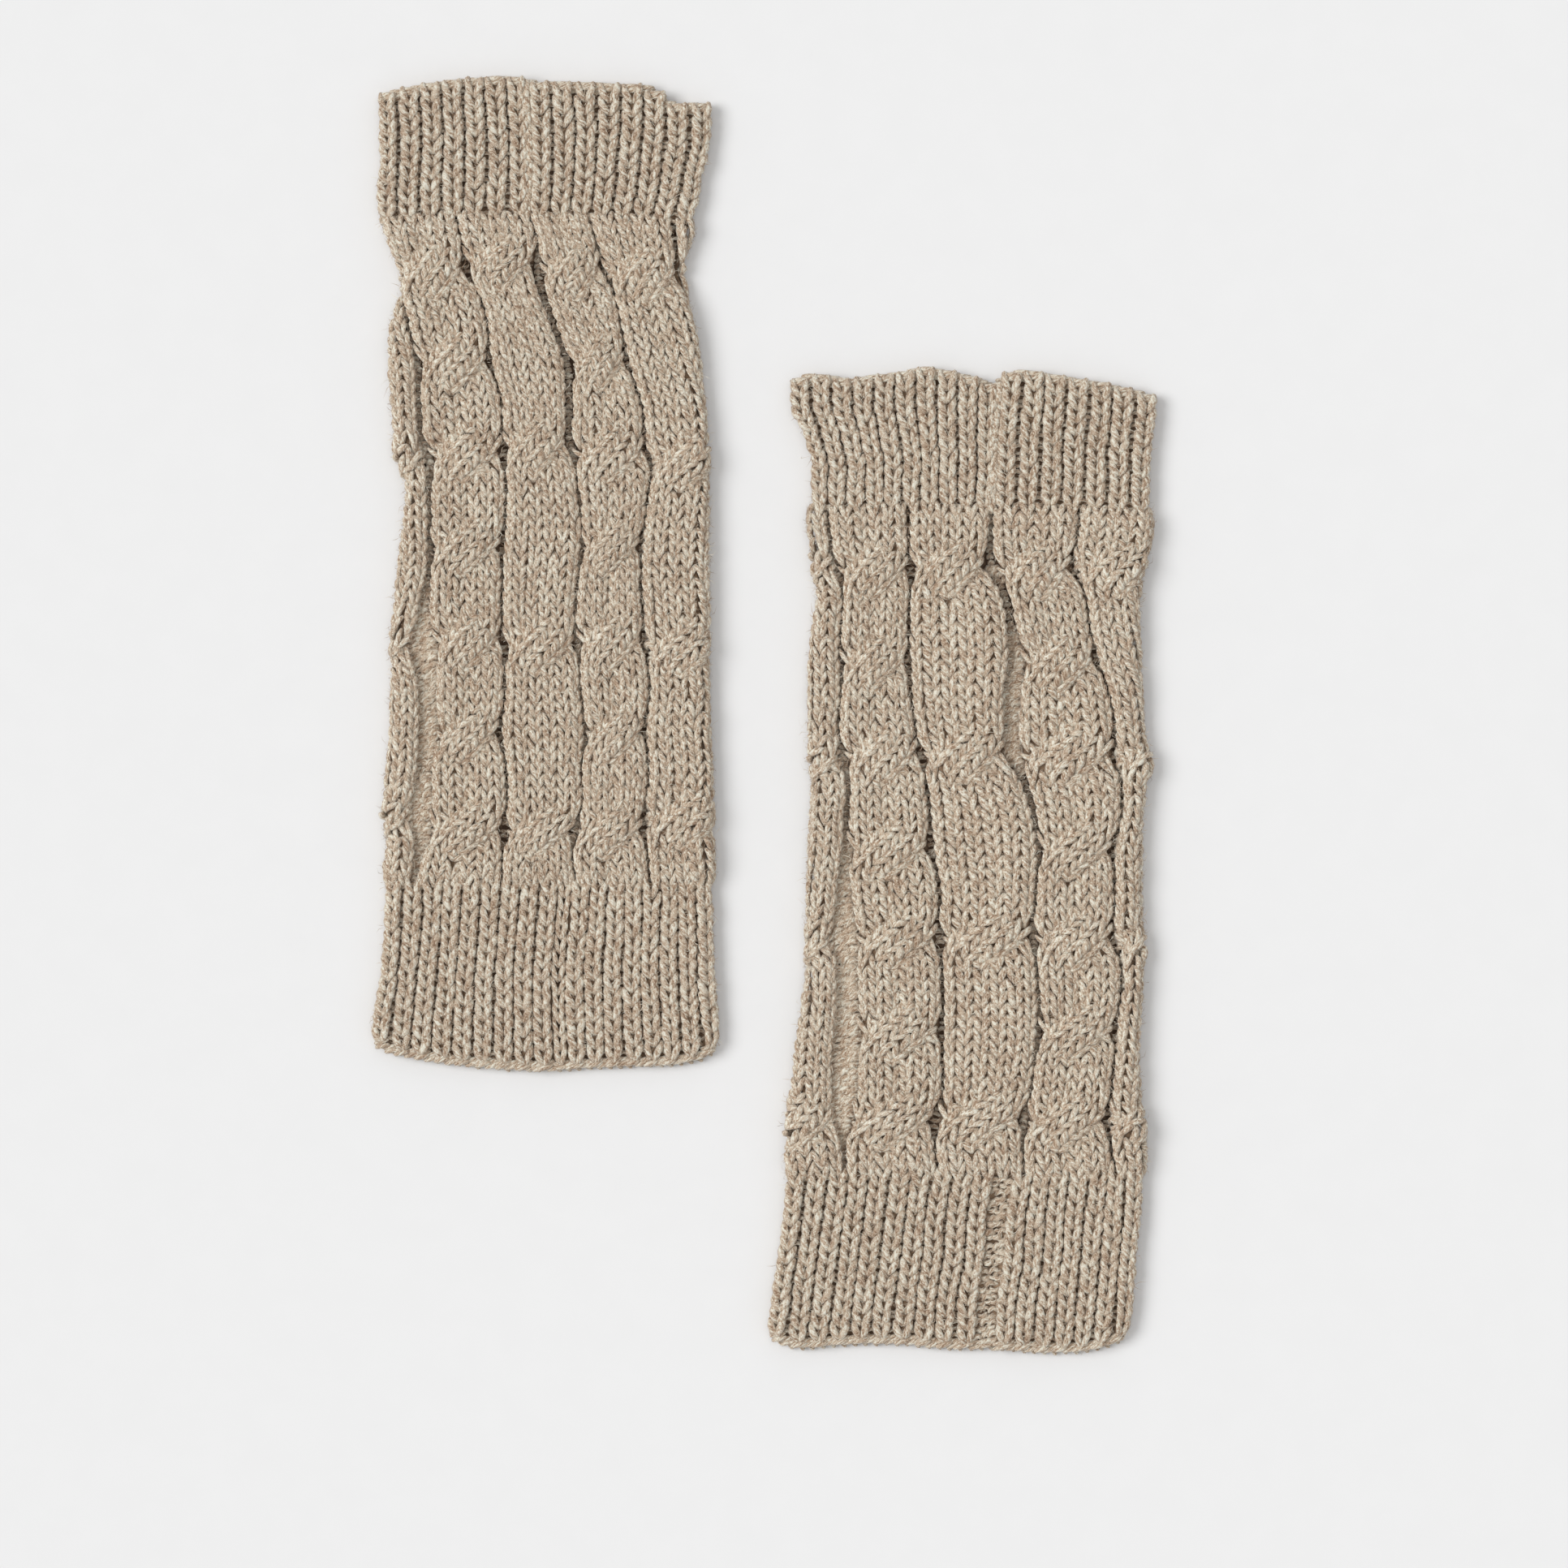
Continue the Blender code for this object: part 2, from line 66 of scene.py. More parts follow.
# Heights of the yarn's middle above the floor, and the rounded folds at the sides
TOP = 5.6
BOTTOM = 1.25
FLOOR_GAP = 0.05
FOLD_MIDDLE = (TOP + BOTTOM) / 2.0
FOLD_HEIGHT = (TOP - BOTTOM) / 2.0
FOLD_WIDTH = 4.2
FOLD_INSET = 1.6

# The stretches of the tube, and how far the curves of its two open edges reach down and up it
UPPER_CUFF_END = 56.5
LOWER_CUFF_START = 331.5
JOIN_OVERLAP = 1.2
TOP_BOW_REACH = 85.0
BOTTOM_BOW_REACH = 95.0

# Numbers of rows and wales, all round the tube, how far the wales sway, and a rib's width spread out
BODY_ROWS = 55
UPPER_CUFF_ROWS = 10
LOWER_CUFF_ROWS = 13
BODY_WOBBLE = 0.25
CUFF_WOBBLE = 0.3
PANELS = 8
PANEL_WALES = 6
VALLEY_WALES = 2
PANEL_PITCH = PANEL_WALES + VALLEY_WALES
BODY_WALES = PANELS * PANEL_PITCH

# Relief of the cable panels. A strand is half a panel, and two of them cross over each other.
PANEL_RISE = 4.0
PANEL_FILL = 0.93
PANEL_POWER = 0.6
OUTER_WALE_TURN = 0.19
TIGHT_FLATNESS = 0.22
STRAND_LIFT = 2.2
STRAND_DIP = 1.8
STRAND_HALF_WIDTH = 0.55
STRAND_TURN = 0.92
UNDER_STRAND_HASTE = 1.5
UNDER_STRAND_TURN = 0.65
COVERED_STRAND = 0.26
SLANT_REACH = 18.0
CROSSING_HALF_LENGTH = 10.5
ROWS_ADDED_BY_CROSSING = 2.0
PIT_START = 0.42
PIT_EDGE = 0.2
RELIEF_FADE = 7.0
RELIEF_AT_CUFF = 0.35
BODY_FOLD_RISE = 0.85 * PANEL_RISE

# Valleys between the panels. A and C vary in width: each has the column of its width in the body's table, and
# the width from which its purl bars lie loose. A plain valley has half a width, and a hidden one a share of
# a panel's length.
VALLEY_DROP = 1.5
PLAIN_VALLEY_HALF_WIDTH = 0.9
HIDDEN_VALLEY = 0.085
OPEN_VALLEYS = {0: ("wide_a", 3.5), 2: ("wide_c", 4.6)}

# How the depth of these two changes as they widen: by how much, from which width on, and over how much more.
# A gets shallower. C gets deeper to a gap, and where it is widest its floor comes up again.
DEPTH_CHANGES = {0: ((-0.5, 2.5, 5.0),), 2: ((1.1, 2.0, 2.0), (-0.6, 4.2, 1.5))}

# Purl bars. The places are wales from their valley's middle, and the ones beyond 1 lie on the flank of the
# panel next to it, at a middle height and with a slope of their own.
BAR_PLACES = {0: (-1.1, -0.62, 0.0, 0.62), 2: (-0.62, 0.0, 0.62), 3: (0.0, 1.1)}
PLAIN_BAR_WIDTH = 2.0
OPEN_BAR_WIDTH = 0.9
PLAIN_BAR_LENGTH = 4.6
OPEN_BAR_LENGTH = 2.4
PLAIN_BAR_SINK = 1.5
OPEN_BAR_SINK = 0.6
LOWEST_BAR = -3.1
FLANK_RISE = 0.6
FLANK_SLOPE = 3.0
LOOSE_BAR_TILT = -0.28

# Relief of the ribs, and the chain along an open edge
RIB_RISE = 2.1
KNIT_RIB_RISE = 0.6 * RIB_RISE
RIB_WIDTH = 1.92
RIB_PURL_WIDTH = 0.85
RIB_PURL_SINK = 0.75
RIB_FADE = 7.0
RIB_CLOTH_SHARE = 0.7
LEAST_GROOVE = 0.15
CUFF_FOLD_RISE = 0.5 * RIB_RISE
EDGE_INSETS = (1.15, 2.7)
EDGE_ROOM = 2.4
EDGE_LINK_LENGTH = 4.4
EDGE_RISES = (-0.3, 0.6)

# The yarn, and its loose fibres: how far from a stitch's middle they start, across, down and outward, and the
# shape and scale of the gamma spread of their lengths
YARN_RADIUS = 1.24
WIDE_WALE = 5.4
LOOSE_FIBRES = 32000
FIBRE_HALF_WIDTH = 0.09
FIBRE_REACH = (2.7, 2.4)
FIBRE_LENGTH = (4.0, 0.75)
FIBRE_START = 0.7

# The cloth between the stitches: how far it lies below their middles, and the slit inside it. Its steps are
# wales from each valley's middle, and cloth is level where its outward direction points up by this share.
BODY_CLOTH_SINK = 1.0
CUFF_CLOTH_SINK = 0.75
UNDERSIDE_CLOTH_SINK = 0.5
LOWEST_CLOTH = -1.7
CLOTH_WALL = 0.4
SLIT_END = 4.2
SLIT_COVER = 0.15
LEVEL = 0.9
CLOTH_STEPS = (-1.0, 1.0, 1.3, 1.9, 2.9, 4.0, 5.1, 6.1, 6.7)
BODY_CLOTH_ROWS = 74

# The light: suns with their strength, and their spread and turn in degrees, and the even pale surround
Sun = namedtuple("Sun", "name strength spread turn")
SUNS = (Sun("side_light", 1.76, 34.0, (-6.0, -40.0, 0.0)), Sun("top_light", 0.37, 35.0, (-6.0, 4.0, 0.0)))
SURROUND = 0.512

# Tables of both leg warmers. A seam has the shape "column", "knit" or "purl". The places of its stitches are
# wales from its middle. Without a half width it is as wide as a purl wale.
EdgePoint = namedtuple("EdgePoint", "across down")
CuffRow = namedtuple("CuffRow", "down left seam right")
Seam = namedtuple("Seam", "half_width shape rise places")
BodyRow = namedtuple("BodyRow", "down left valley_a wide_a valley_b valley_c wide_c valley_d right")
Leg = namedtuple(
    "Leg",
    "name datum_x datum_y length top_edge bottom_edge upper_cuff body lower_cuff"
    " upper_ribs lower_ribs lower_seam tight_crossings long_crossings edge_crossings",
)


def table(kind, *rows):
    """Returns the rows of a table, with the names of its columns."""
    return tuple(kind(*row) for row in rows)


UPPER_SEAM = Seam(None, "column", 0.9, (0.0,))
LEFT_LEG = Leg(
    name="left",
    datum_x=-90.2,
    datum_y=262.0,
    length=408.0,
    top_edge=table(
        EdgePoint,
        (-69.3, 8.0), (-60.7, 5.3), (-50.7, 3.3), (-40.7, 1.7), (-20.7, 0.0), (-10.7, 0.3), (-5.7, 1.7),
        (9.3, 2.0), (29.3, 3.0), (44.3, 5.3), (50.0, 10.0), (59.3, 10.7), (68.7, 11.3),
    ),
    bottom_edge=table(
        EdgePoint,
        (-71.0, 397.0), (-65.7, 400.0), (-55.7, 402.7), (-40.7, 405.3), (-20.7, 407.3), (-2.3, 408.3),
        (19.3, 407.3), (39.3, 406.3), (54.3, 405.7), (64.3, 403.3), (70.7, 399.3),
    ),
    upper_cuff=table(
        CuffRow,
        (0.0, -69.0, -7.5, 68.7), (12.0, -69.3, -7.0, 68.7), (28.7, -68.7, -6.0, 68.0),
        (40.3, -69.3, -6.0, 65.3), (48.7, -70.0, -6.3, 64.0), (57.0, -69.5, -6.7, 61.5),
    ),
    body=table(
        BodyRow,
        (56.0, -69.7, -67.4, 1.2, -37.0, -6.7, 1.7, 16.7, 61.7),
        (68.7, -64.9, -63.0, 1.2, -34.7, -3.0, 1.7, 20.7, 58.0),
        (82.0, -60.8, -58.8, 1.2, -31.7, -3.0, 4.0, 25.0, 56.3),
        (92.0, -59.6, -57.2, 1.2, -26.3, -0.3, 4.0, 29.0, 58.3),
        (102.0, -61.7, -56.3, 2.0, -24.0, 3.0, 4.0, 30.7, 60.7),
        (118.7, -63.0, -53.0, 2.7, -22.3, 9.0, 4.0, 34.3, 62.7),
        (135.3, -62.0, -52.3, 2.7, -17.7, 9.7, 4.0, 39.3, 64.0),
        (148.7, -60.7, -50.8, 2.7, -17.5, 10.0, 3.0, 40.7, 65.3),
        (160.3, -58.0, -47.5, 2.7, -17.0, 12.0, 1.7, 43.0, 65.7),
        (168.7, -55.9, -48.0, 2.7, -16.5, 13.3, 1.7, 42.5, 65.3),
        (185.3, -57.3, -47.7, 2.7, -17.0, 15.0, 1.7, 40.3, 65.7),
        (202.0, -59.0, -47.8, 2.7, -18.0, 13.7, 1.7, 39.0, 66.0),
        (218.7, -61.0, -50.0, 6.0, -18.0, 12.0, 1.7, 40.0, 66.0),
        (235.3, -61.7, -50.0, 11.0, -17.0, 13.3, 1.7, 41.0, 65.7),
        (252.0, -62.0, -48.4, 8.0, -17.0, 14.3, 1.7, 42.3, 65.7),
        (268.7, -62.3, -48.4, 8.0, -18.3, 16.3, 1.7, 41.0, 66.3),
        (285.3, -63.7, -49.7, 7.0, -16.3, 14.7, 1.7, 42.0, 67.0),
        (302.0, -64.7, -51.0, 9.0, -16.3, 14.7, 1.7, 40.7, 67.7),
        (313.7, -63.6, -51.3, 6.0, -17.3, 11.0, 1.7, 41.3, 67.7),
        (332.0, -66.0, -54.7, 3.0, -18.0, 12.0, 1.7, 42.7, 68.7),
    ),
    lower_cuff=table(
        CuffRow,
        (331.0, -66.0, 8.3, 68.7), (352.0, -67.0, 6.7, 69.7), (368.7, -68.7, 5.3, 70.3),
        (385.3, -71.3, 5.5, 71.3), (393.7, -71.7, 5.8, 71.7), (398.7, -70.8, 6.0, 70.7),
        (408.0, -69.5, 6.0, 69.5),
    ),
    upper_ribs=(7, 8),
    lower_ribs=(9, 8),
    lower_seam=Seam(6.6, "knit", 0.7, (0.0,)),
    tight_crossings=(80.3, 117.5, 155.3, 193.7, 232.3, 270.6, 309.6),
    long_crossings=(77.0, 152.0, 233.7, 310.3),
    edge_crossings=(82.0, 158.5, 235.0, 306.0),
)

RIGHT_LEG = Leg(
    name="right",
    datum_x=85.8,
    datum_y=142.7,
    length=402.0,
    top_edge=table(
        EdgePoint,
        (-75.0, 7.7), (-70.0, 3.7), (-63.3, 3.0), (-50.0, 5.0), (-40.0, 3.0), (-30.0, 2.3), (-20.0, 0.0),
        (-10.0, 1.7), (0.0, 4.3), (9.5, 7.0), (15.3, 2.3), (30.0, 2.7), (40.0, 4.3), (55.0, 7.0), (66.7, 9.7),
        (75.7, 13.0),
    ),
    bottom_edge=table(
        EdgePoint,
        (-84.0, 398.7), (-75.0, 402.3), (-55.0, 401.7), (-30.0, 401.3), (-10.0, 403.0), (10.0, 403.3),
        (30.0, 404.7), (45.0, 404.3), (55.0, 402.0), (62.3, 399.3),
    ),
    upper_cuff=table(
        CuffRow,
        (0.0, -75.0, 11.0, 74.7), (12.7, -75.7, 10.5, 75.3), (22.7, -74.3, 9.7, 75.3),
        (31.0, -70.2, 9.2, 74.3), (39.0, -67.3, 8.9, 73.3), (49.3, -67.6, 8.5, 73.3),
        (59.0, -67.3, 8.2, 72.7),
    ),
    body=table(
        BodyRow,
        (58.0, -67.3, -60.7, 1.8, -27.3, 7.0, 1.7, 43.3, 72.7),
        (69.3, -66.3, -59.7, 1.8, -27.3, 6.7, 2.7, 42.0, 72.0),
        (82.7, -64.3, -56.7, 1.8, -26.3, 7.7, 4.7, 40.7, 69.3),
        (94.3, -62.9, -54.0, 1.8, -26.7, 12.7, 4.0, 45.7, 66.9),
        (106.0, -64.7, -54.7, 1.8, -27.3, 15.0, 4.5, 47.3, 66.7),
        (118.0, -65.8, -55.2, 1.8, -27.0, 16.7, 6.7, 50.0, 67.0),
        (132.7, -66.3, -54.9, 1.8, -26.4, 15.7, 7.3, 55.0, 67.7),
        (149.3, -66.2, -55.8, 2.0, -24.0, 15.3, 6.7, 57.5, 68.3),
        (162.7, -65.0, -53.2, 2.2, -21.3, 17.0, 5.3, 58.3, 70.0),
        (172.7, -64.8, -51.9, 2.5, -19.7, 21.5, 3.3, 60.6, 69.4),
        (182.7, -65.6, -52.6, 3.0, -18.7, 24.5, 2.7, 60.4, 68.4),
        (199.3, -66.3, -53.0, 4.0, -17.4, 26.0, 1.7, 57.5, 67.7),
        (216.0, -67.0, -53.8, 7.0, -14.4, 25.0, 1.7, 57.7, 67.4),
        (232.7, -66.9, -53.3, 10.5, -14.4, 24.4, 1.7, 57.4, 67.6),
        (249.3, -67.4, -52.4, 9.0, -13.3, 25.8, 1.7, 60.5, 68.0),
        (266.0, -69.6, -52.4, 10.0, -13.0, 26.5, 1.7, 59.0, 67.1),
        (282.7, -72.2, -53.1, 11.0, -13.2, 25.2, 1.7, 57.5, 66.8),
        (299.3, -74.0, -53.3, 11.0, -13.8, 22.7, 1.7, 56.0, 67.0),
        (312.7, -74.8, -54.2, 5.0, -16.5, 20.0, 1.7, 55.2, 68.1),
        (331.5, -76.8, -53.0, 2.5, -14.7, 20.3, 1.7, 58.0, 70.0),
    ),
    lower_cuff=table(
        CuffRow,
        (330.0, -76.8, 12.5, 70.3), (349.3, -79.0, 9.3, 69.0), (366.0, -81.7, 8.3, 67.3),
        (382.7, -83.7, 5.5, 66.3), (394.3, -85.0, 4.7, 64.3), (399.3, -84.2, 4.5, 62.3),
        (406.0, -83.0, 4.5, 61.0),
    ),
    upper_ribs=(10, 7),
    lower_ribs=(10, 7),
    lower_seam=Seam(8.0, "purl", -0.3, (-0.36, 0.02, 0.38)),
    tight_crossings=(84.3, 121.6, 160.2, 198.4, 236.0, 273.5, 310.0),
    long_crossings=(82.7, 159.3, 235.0, 308.7),
    edge_crossings=(83.2, 161.8, 237.0, 310.5),
)


def ease(value):
    """Runs smoothly from 0 to 1 as the value does."""
    share = np.clip(value, 0.0, 1.0)
    return share * share * (3.0 - 2.0 * share)


def unit(vectors):
    """Returns the vectors at a length of one."""
    return vectors / np.maximum(np.linalg.norm(vectors, axis=-1, keepdims=True), 1e-9)


class Curve:
    """A smooth curve through one column of a table, read for whole arrays of places at once."""

    def __init__(self, rows, key, column):
        self.keys = np.array([getattr(row, key) for row in rows])
        self.values = np.array([getattr(row, column) for row in rows])
        self.slopes = np.gradient(self.values, self.keys)

    def __call__(self, place):
        place = np.clip(place, self.keys[0], self.keys[-1])
        first = np.clip(np.searchsorted(self.keys, place, side="right") - 1, 0, len(self.keys) - 2)
        span = self.keys[first + 1] - self.keys[first]
        share = (place - self.keys[first]) / span
        square = share * share
        cube = square * share
        return (
            (2.0 * cube - 3.0 * square + 1.0) * self.values[first]
            + (cube - 2.0 * square + share) * self.slopes[first] * span
            + (3.0 * square - 2.0 * cube) * self.values[first + 1]
            + (cube - square) * self.slopes[first + 1] * span
        )


def lifted(outward, rise):
    """Returns the shift of a point by its rise: a height is whole on top, less at the folds and none
    underneath, and a depth is a third there."""
    up = outward[..., 2]
    share = np.where(rise > 0.0, np.clip((up + 0.4) / 1.4, 0.0, 1.0), np.clip(up + 1.0, 0.35, 1.0))
    return outward * (rise * share)[..., None]


class Tube:
    """One stretch of a leg warmer: it turns a place down and round the flattened tube into a point."""

    def __init__(self, leg, rows, fold_rise):
        self.leg = leg
        # Half of the fold's ellipse, from the top round the side to the underside, and its length so far
        self.fold_angles = np.linspace(0.0, math.pi, 181)
        sine = np.sin(self.fold_angles)
        cosine = np.cos(self.fold_angles)
        level = np.zeros_like(sine)
        outward = unit(np.stack((sine / FOLD_WIDTH, level, cosine / FOLD_HEIGHT), -1))
        path = np.stack((FOLD_WIDTH * sine, level, FOLD_HEIGHT * cosine), -1)
        path = path + lifted(outward, np.full_like(sine, fold_rise))
        steps = np.linalg.norm(np.diff(path, axis=0), axis=-1)
        self.fold_lengths = np.concatenate(([0.0], np.cumsum(steps)))
        self.fold_length = self.fold_lengths[-1]
        self.columns = {name: Curve(rows, "down", name) for name in rows[0]._fields[1:]}
        self.top_edge = Curve(leg.top_edge, "across", "down")
        self.bottom_edge = Curve(leg.bottom_edge, "across", "down")

    def bowed(self, down, across):
        """Returns how far below the datum a point lies, once the curves of both ends are let in."""
        top_share = 1.0 - ease(down / TOP_BOW_REACH)
        bottom_share = ease((down - self.leg.length + BOTTOM_BOW_REACH) / BOTTOM_BOW_REACH)
        bottom = self.bottom_edge(across) - self.leg.length
        return down + self.top_edge(across) * top_share + bottom * bottom_share

    def column(self, name, down):
        """Returns where a column of the table stands, read at the point's own bowed place."""
        rough = self.columns[name](down)
        return self.columns[name](self.bowed(down, rough))

    def ends(self, down):
        """Returns where the level top leaves the left fold and meets the right one."""
        left = self.column("left", down) + FOLD_INSET + FOLD_WIDTH
        right = self.column("right", down) - FOLD_INSET - FOLD_WIDTH
        return left, right

    def along_at(self, across, left):
        """Returns how far round the tube a point of the top lies, from its place across."""
        angle = np.arcsin(np.clip((left - across) / FOLD_WIDTH, 0.0, 1.0))
        on_fold = np.interp(angle, self.fold_angles, self.fold_lengths)
        return np.where(across >= left, across - left, -on_fold)

    def point(self, down, along, rise):
        """Returns points and outward directions at places down and round the tube, lifted by a rise."""
        left, right = self.ends(down)
        flat = right - left
        half = flat + self.fold_length
        along = np.mod(along, 2.0 * half)
        under = along >= half
        place = np.where(under, along - half, along)
        passed = np.clip(place - flat, 0.0, self.fold_length)
        from_top = np.interp(passed, self.fold_lengths, self.fold_angles)
        from_below = math.pi - np.interp(self.fold_length - passed, self.fold_lengths, self.fold_angles)
        angle = np.where(under, from_below, from_top)
        on_fold = place > flat
        sine = np.where(on_fold, np.sin(angle), 0.0)
        cosine = np.where(on_fold, np.cos(angle), 1.0)
        side = np.where(under, -1.0, 1.0)
        level = np.minimum(place, flat)
        across = np.where(under, right - level, left + level) + side * FOLD_WIDTH * sine
        height = FOLD_MIDDLE + side * FOLD_HEIGHT * cosine
        outward = np.stack((side * sine / FOLD_WIDTH, np.zeros_like(sine), side * cosine / FOLD_HEIGHT), -1)
        outward = unit(outward)
        shift = lifted(outward, rise)
        across = across + shift[..., 0]
        height = height + shift[..., 2]
        x = self.leg.datum_x + across
        y = self.leg.datum_y - self.bowed(down, across)
        return np.stack((x, y, height), -1), outward


def widen(reach):
    """Spreads the wales of a panel, because its outer ones turn down into the valleys."""
    return reach * (1.0 + OUTER_WALE_TURN - OUTER_WALE_TURN * np.abs(reach) ** 6)


def panel_place(wale):
    """Returns a wale's panel, its place from the valley before that, and its reach across, from -1 to 1."""
    places = np.mod(wale + VALLEY_WALES / 2.0, BODY_WALES)
    panel = np.floor(places / PANEL_PITCH).astype(int)
    inside = places - panel * PANEL_PITCH
    return panel, inside, (inside - VALLEY_WALES) / PANEL_WALES * 2.0 - 1.0


class Body(Tube):
    """The cabled body: eight panels of six wales, with two purl wales in each valley between them.

    Wales are counted round the tube from the middle of valley A, 8 for each panel with its valley. The
    first three panels lie on top, the fourth and the eighth turn round the folds, and the rest lie below.
    """

    FRONT_VALLEYS = ("valley_a", "valley_b", "valley_c", "valley_d")
    HIDDEN_VALLEYS = PANELS - len(FRONT_VALLEYS)

    def __init__(self, leg):
        super().__init__(leg, leg.body, BODY_FOLD_RISE)
        crossings = {
            "tight": np.array(leg.tight_crossings),
            "long": np.array(leg.long_crossings),
            "edge": np.array(leg.edge_crossings),
        }
        order = ("tight", "long", "tight", "edge", "tight", "long", "tight", "edge")
        self.crossings = [crossings[kind] for kind in order]
        self.is_tight = [kind == "tight" for kind in order]

    def along(self, down, wale):
        """Returns how far round the tube a wale runs at a place down it."""
        down, wale = np.broadcast_arrays(down, wale)
        left, right = self.ends(down)
        total = 2.0 * (right - left + self.fold_length)
        # Where each valley starts and ends: the ones on top from the table, the hidden ones spaced evenly
        knots = []
        for valley, name in enumerate(self.FRONT_VALLEYS):
            half_width = PLAIN_VALLEY_HALF_WIDTH
            if valley in OPEN_VALLEYS:
                half_width = 0.5 * self.column(OPEN_VALLEYS[valley][0], down)
            middle = self.column(name, down)
            knots += [self.along_at(middle - half_width, left), self.along_at(middle + half_width, left)]
        first, last = knots[0] + total, knots[-1]
        hidden_panels = self.HIDDEN_VALLEYS + 1
        panel_length = (first - last) / (hidden_panels + self.HIDDEN_VALLEYS * HIDDEN_VALLEY)
        for valley in range(self.HIDDEN_VALLEYS):
            start = last + panel_length * (1.0 + valley * (1.0 + HIDDEN_VALLEY))
            knots += [start, start + panel_length * HIDDEN_VALLEY]
        knots = np.stack([*knots, first], -1)
        panel, inside, reach = panel_place(wale)
        in_valley = inside < VALLEY_WALES
        low = np.where(in_valley, 2 * panel, 2 * panel + 1)
        on_panel = 0.5 + 0.5 * widen(np.clip(reach, -1.0, 1.0)) * PANEL_FILL
        share = np.where(in_valley, inside / VALLEY_WALES, on_panel)
        start = np.take_along_axis(knots, low[..., None], -1)[..., 0]
        end = np.take_along_axis(knots, low[..., None] + 1, -1)[..., 0]
        return start + (end - start) * share

    def fade(self, down):
        """Returns how much of the relief is left near the cuffs."""
        start = ease((down - UPPER_CUFF_END) / RELIEF_FADE + RELIEF_AT_CUFF)
        return start * ease((LOWER_CUFF_START - down) / RELIEF_FADE + RELIEF_AT_CUFF)

    def crossing(self, panel, down, anchor):
        """Returns where the crossing nearest to the anchor is passed, from -1 above it to 1 below it."""
        places = self.crossings[panel]
        nearest = places[np.argmin(np.abs(np.asarray(anchor)[..., None] - places), -1)]
        return np.clip((down - nearest) / CROSSING_HALF_LENGTH, -1.0, 1.0)

    def crossed(self, panel, down, anchor):
        """Returns how far the strands are into a crossing: 1 at its middle and 0 outside it."""
        return np.cos(self.crossing(panel, down, anchor) * math.pi / 2.0) ** 2

    def strand_line(self, panel, down, is_over, anchor):
        """Returns a strand's middle in its panel, from -0.5 to 0.5, and how far it is turned there.

        The strand below changes sides in less length than the one above, which hides most of its way.
        """
        side, haste, turned = -1.0, 1.0, STRAND_TURN
        if not is_over:
            side, haste, turned = 1.0, UNDER_STRAND_HASTE, UNDER_STRAND_TURN
        passed = np.clip(0.5 + haste * self.crossing(panel, down, anchor) / 2.0, 0.0, 1.0)
        middle = side * (ease(passed) - 0.5)
        slope = side * haste * 6.0 * passed * (1.0 - passed) / (2.0 * CROSSING_HALF_LENGTH) * SLANT_REACH
        return middle, np.arctan(slope) * turned

    def strand_rows(self, panel):
        """Returns the middles of a panel's rows and their heights: they lie closer where strands cross."""
        places = np.linspace(UPPER_CUFF_END - JOIN_OVERLAP, LOWER_CUFF_START + JOIN_OVERLAP, 2000)
        passed = (places[:, None] - self.crossings[panel]) / CROSSING_HALF_LENGTH
        added = ROWS_ADDED_BY_CROSSING * ease((passed + 1.0) / 2.0).sum(-1)
        counts = (places - places[0]) / (places[-1] - places[0]) * BODY_ROWS + added - added[0]
        total = int(round(counts[-1]))
        counts *= total / counts[-1]
        edges = np.interp(np.arange(total + 1), counts, places)
        return (edges[:-1] + edges[1:]) / 2.0, np.diff(edges)

    def strand_rise(self, panel, down, reach, offset, is_over, anchor):
        """Returns how high a strand stands above the base, at a reach across its panel.

        The offset is the distance from the strand's own middle.
        """
        across = widen(np.clip(reach, -1.0, 1.0))
        dome = np.sqrt(np.clip(1.0 - (offset / STRAND_HALF_WIDTH) ** 2, 0.0, 1.0))
        crossed = self.crossed(panel, down, anchor)
        change = STRAND_LIFT if is_over else -STRAND_DIP
        strand = PANEL_RISE * dome * (1.0 + change / PANEL_RISE * crossed)
        plain = PANEL_RISE * np.clip(1.0 - across * across, 0.0, 1.0) ** PANEL_POWER
        flatness = (TIGHT_FLATNESS if self.is_tight[panel] else 1.0) * (1.0 - crossed)
        return self.fade(down) * (strand + (np.maximum(plain, strand) - strand) * flatness)

    def strand_place(self, panel, anchor, step, place, is_over):
        """Returns the place down, the wale and the height of one of a strand's three wales.

        The strand turns as it crosses over, and its rows turn with it. The step goes down from the anchor.
        """
        down = anchor + step
        middle, turn = self.strand_line(panel, down, is_over, anchor)
        offset = place / 3.0
        reach = middle + offset * np.cos(turn)
        lowered = down - offset * SLANT_REACH * np.sin(turn)
        wale = PANEL_PITCH * panel + 1.0 + (np.clip(reach, -1.0, 1.0) + 1.0) / 2.0 * PANEL_WALES
        return lowered, wale, self.strand_rise(panel, down, reach, offset, is_over, anchor)

    def valley_drop(self, down, wale):
        """Returns how deep the valleys are cut at a place down and the wale of one of them."""
        drop = VALLEY_DROP
        for valley, changes in DEPTH_CHANGES.items():
            past = np.mod(wale - PANEL_PITCH * valley + BODY_WALES / 2.0, BODY_WALES) - BODY_WALES / 2.0
            width = self.columns[OPEN_VALLEYS[valley][0]](down)
            own_drop = VALLEY_DROP
            for change, start, span in changes:
                own_drop = own_drop + change * ease((width - start) / span)
            drop = np.where(np.abs(past) <= 1.0, own_drop, drop)
        return drop * self.fade(down)

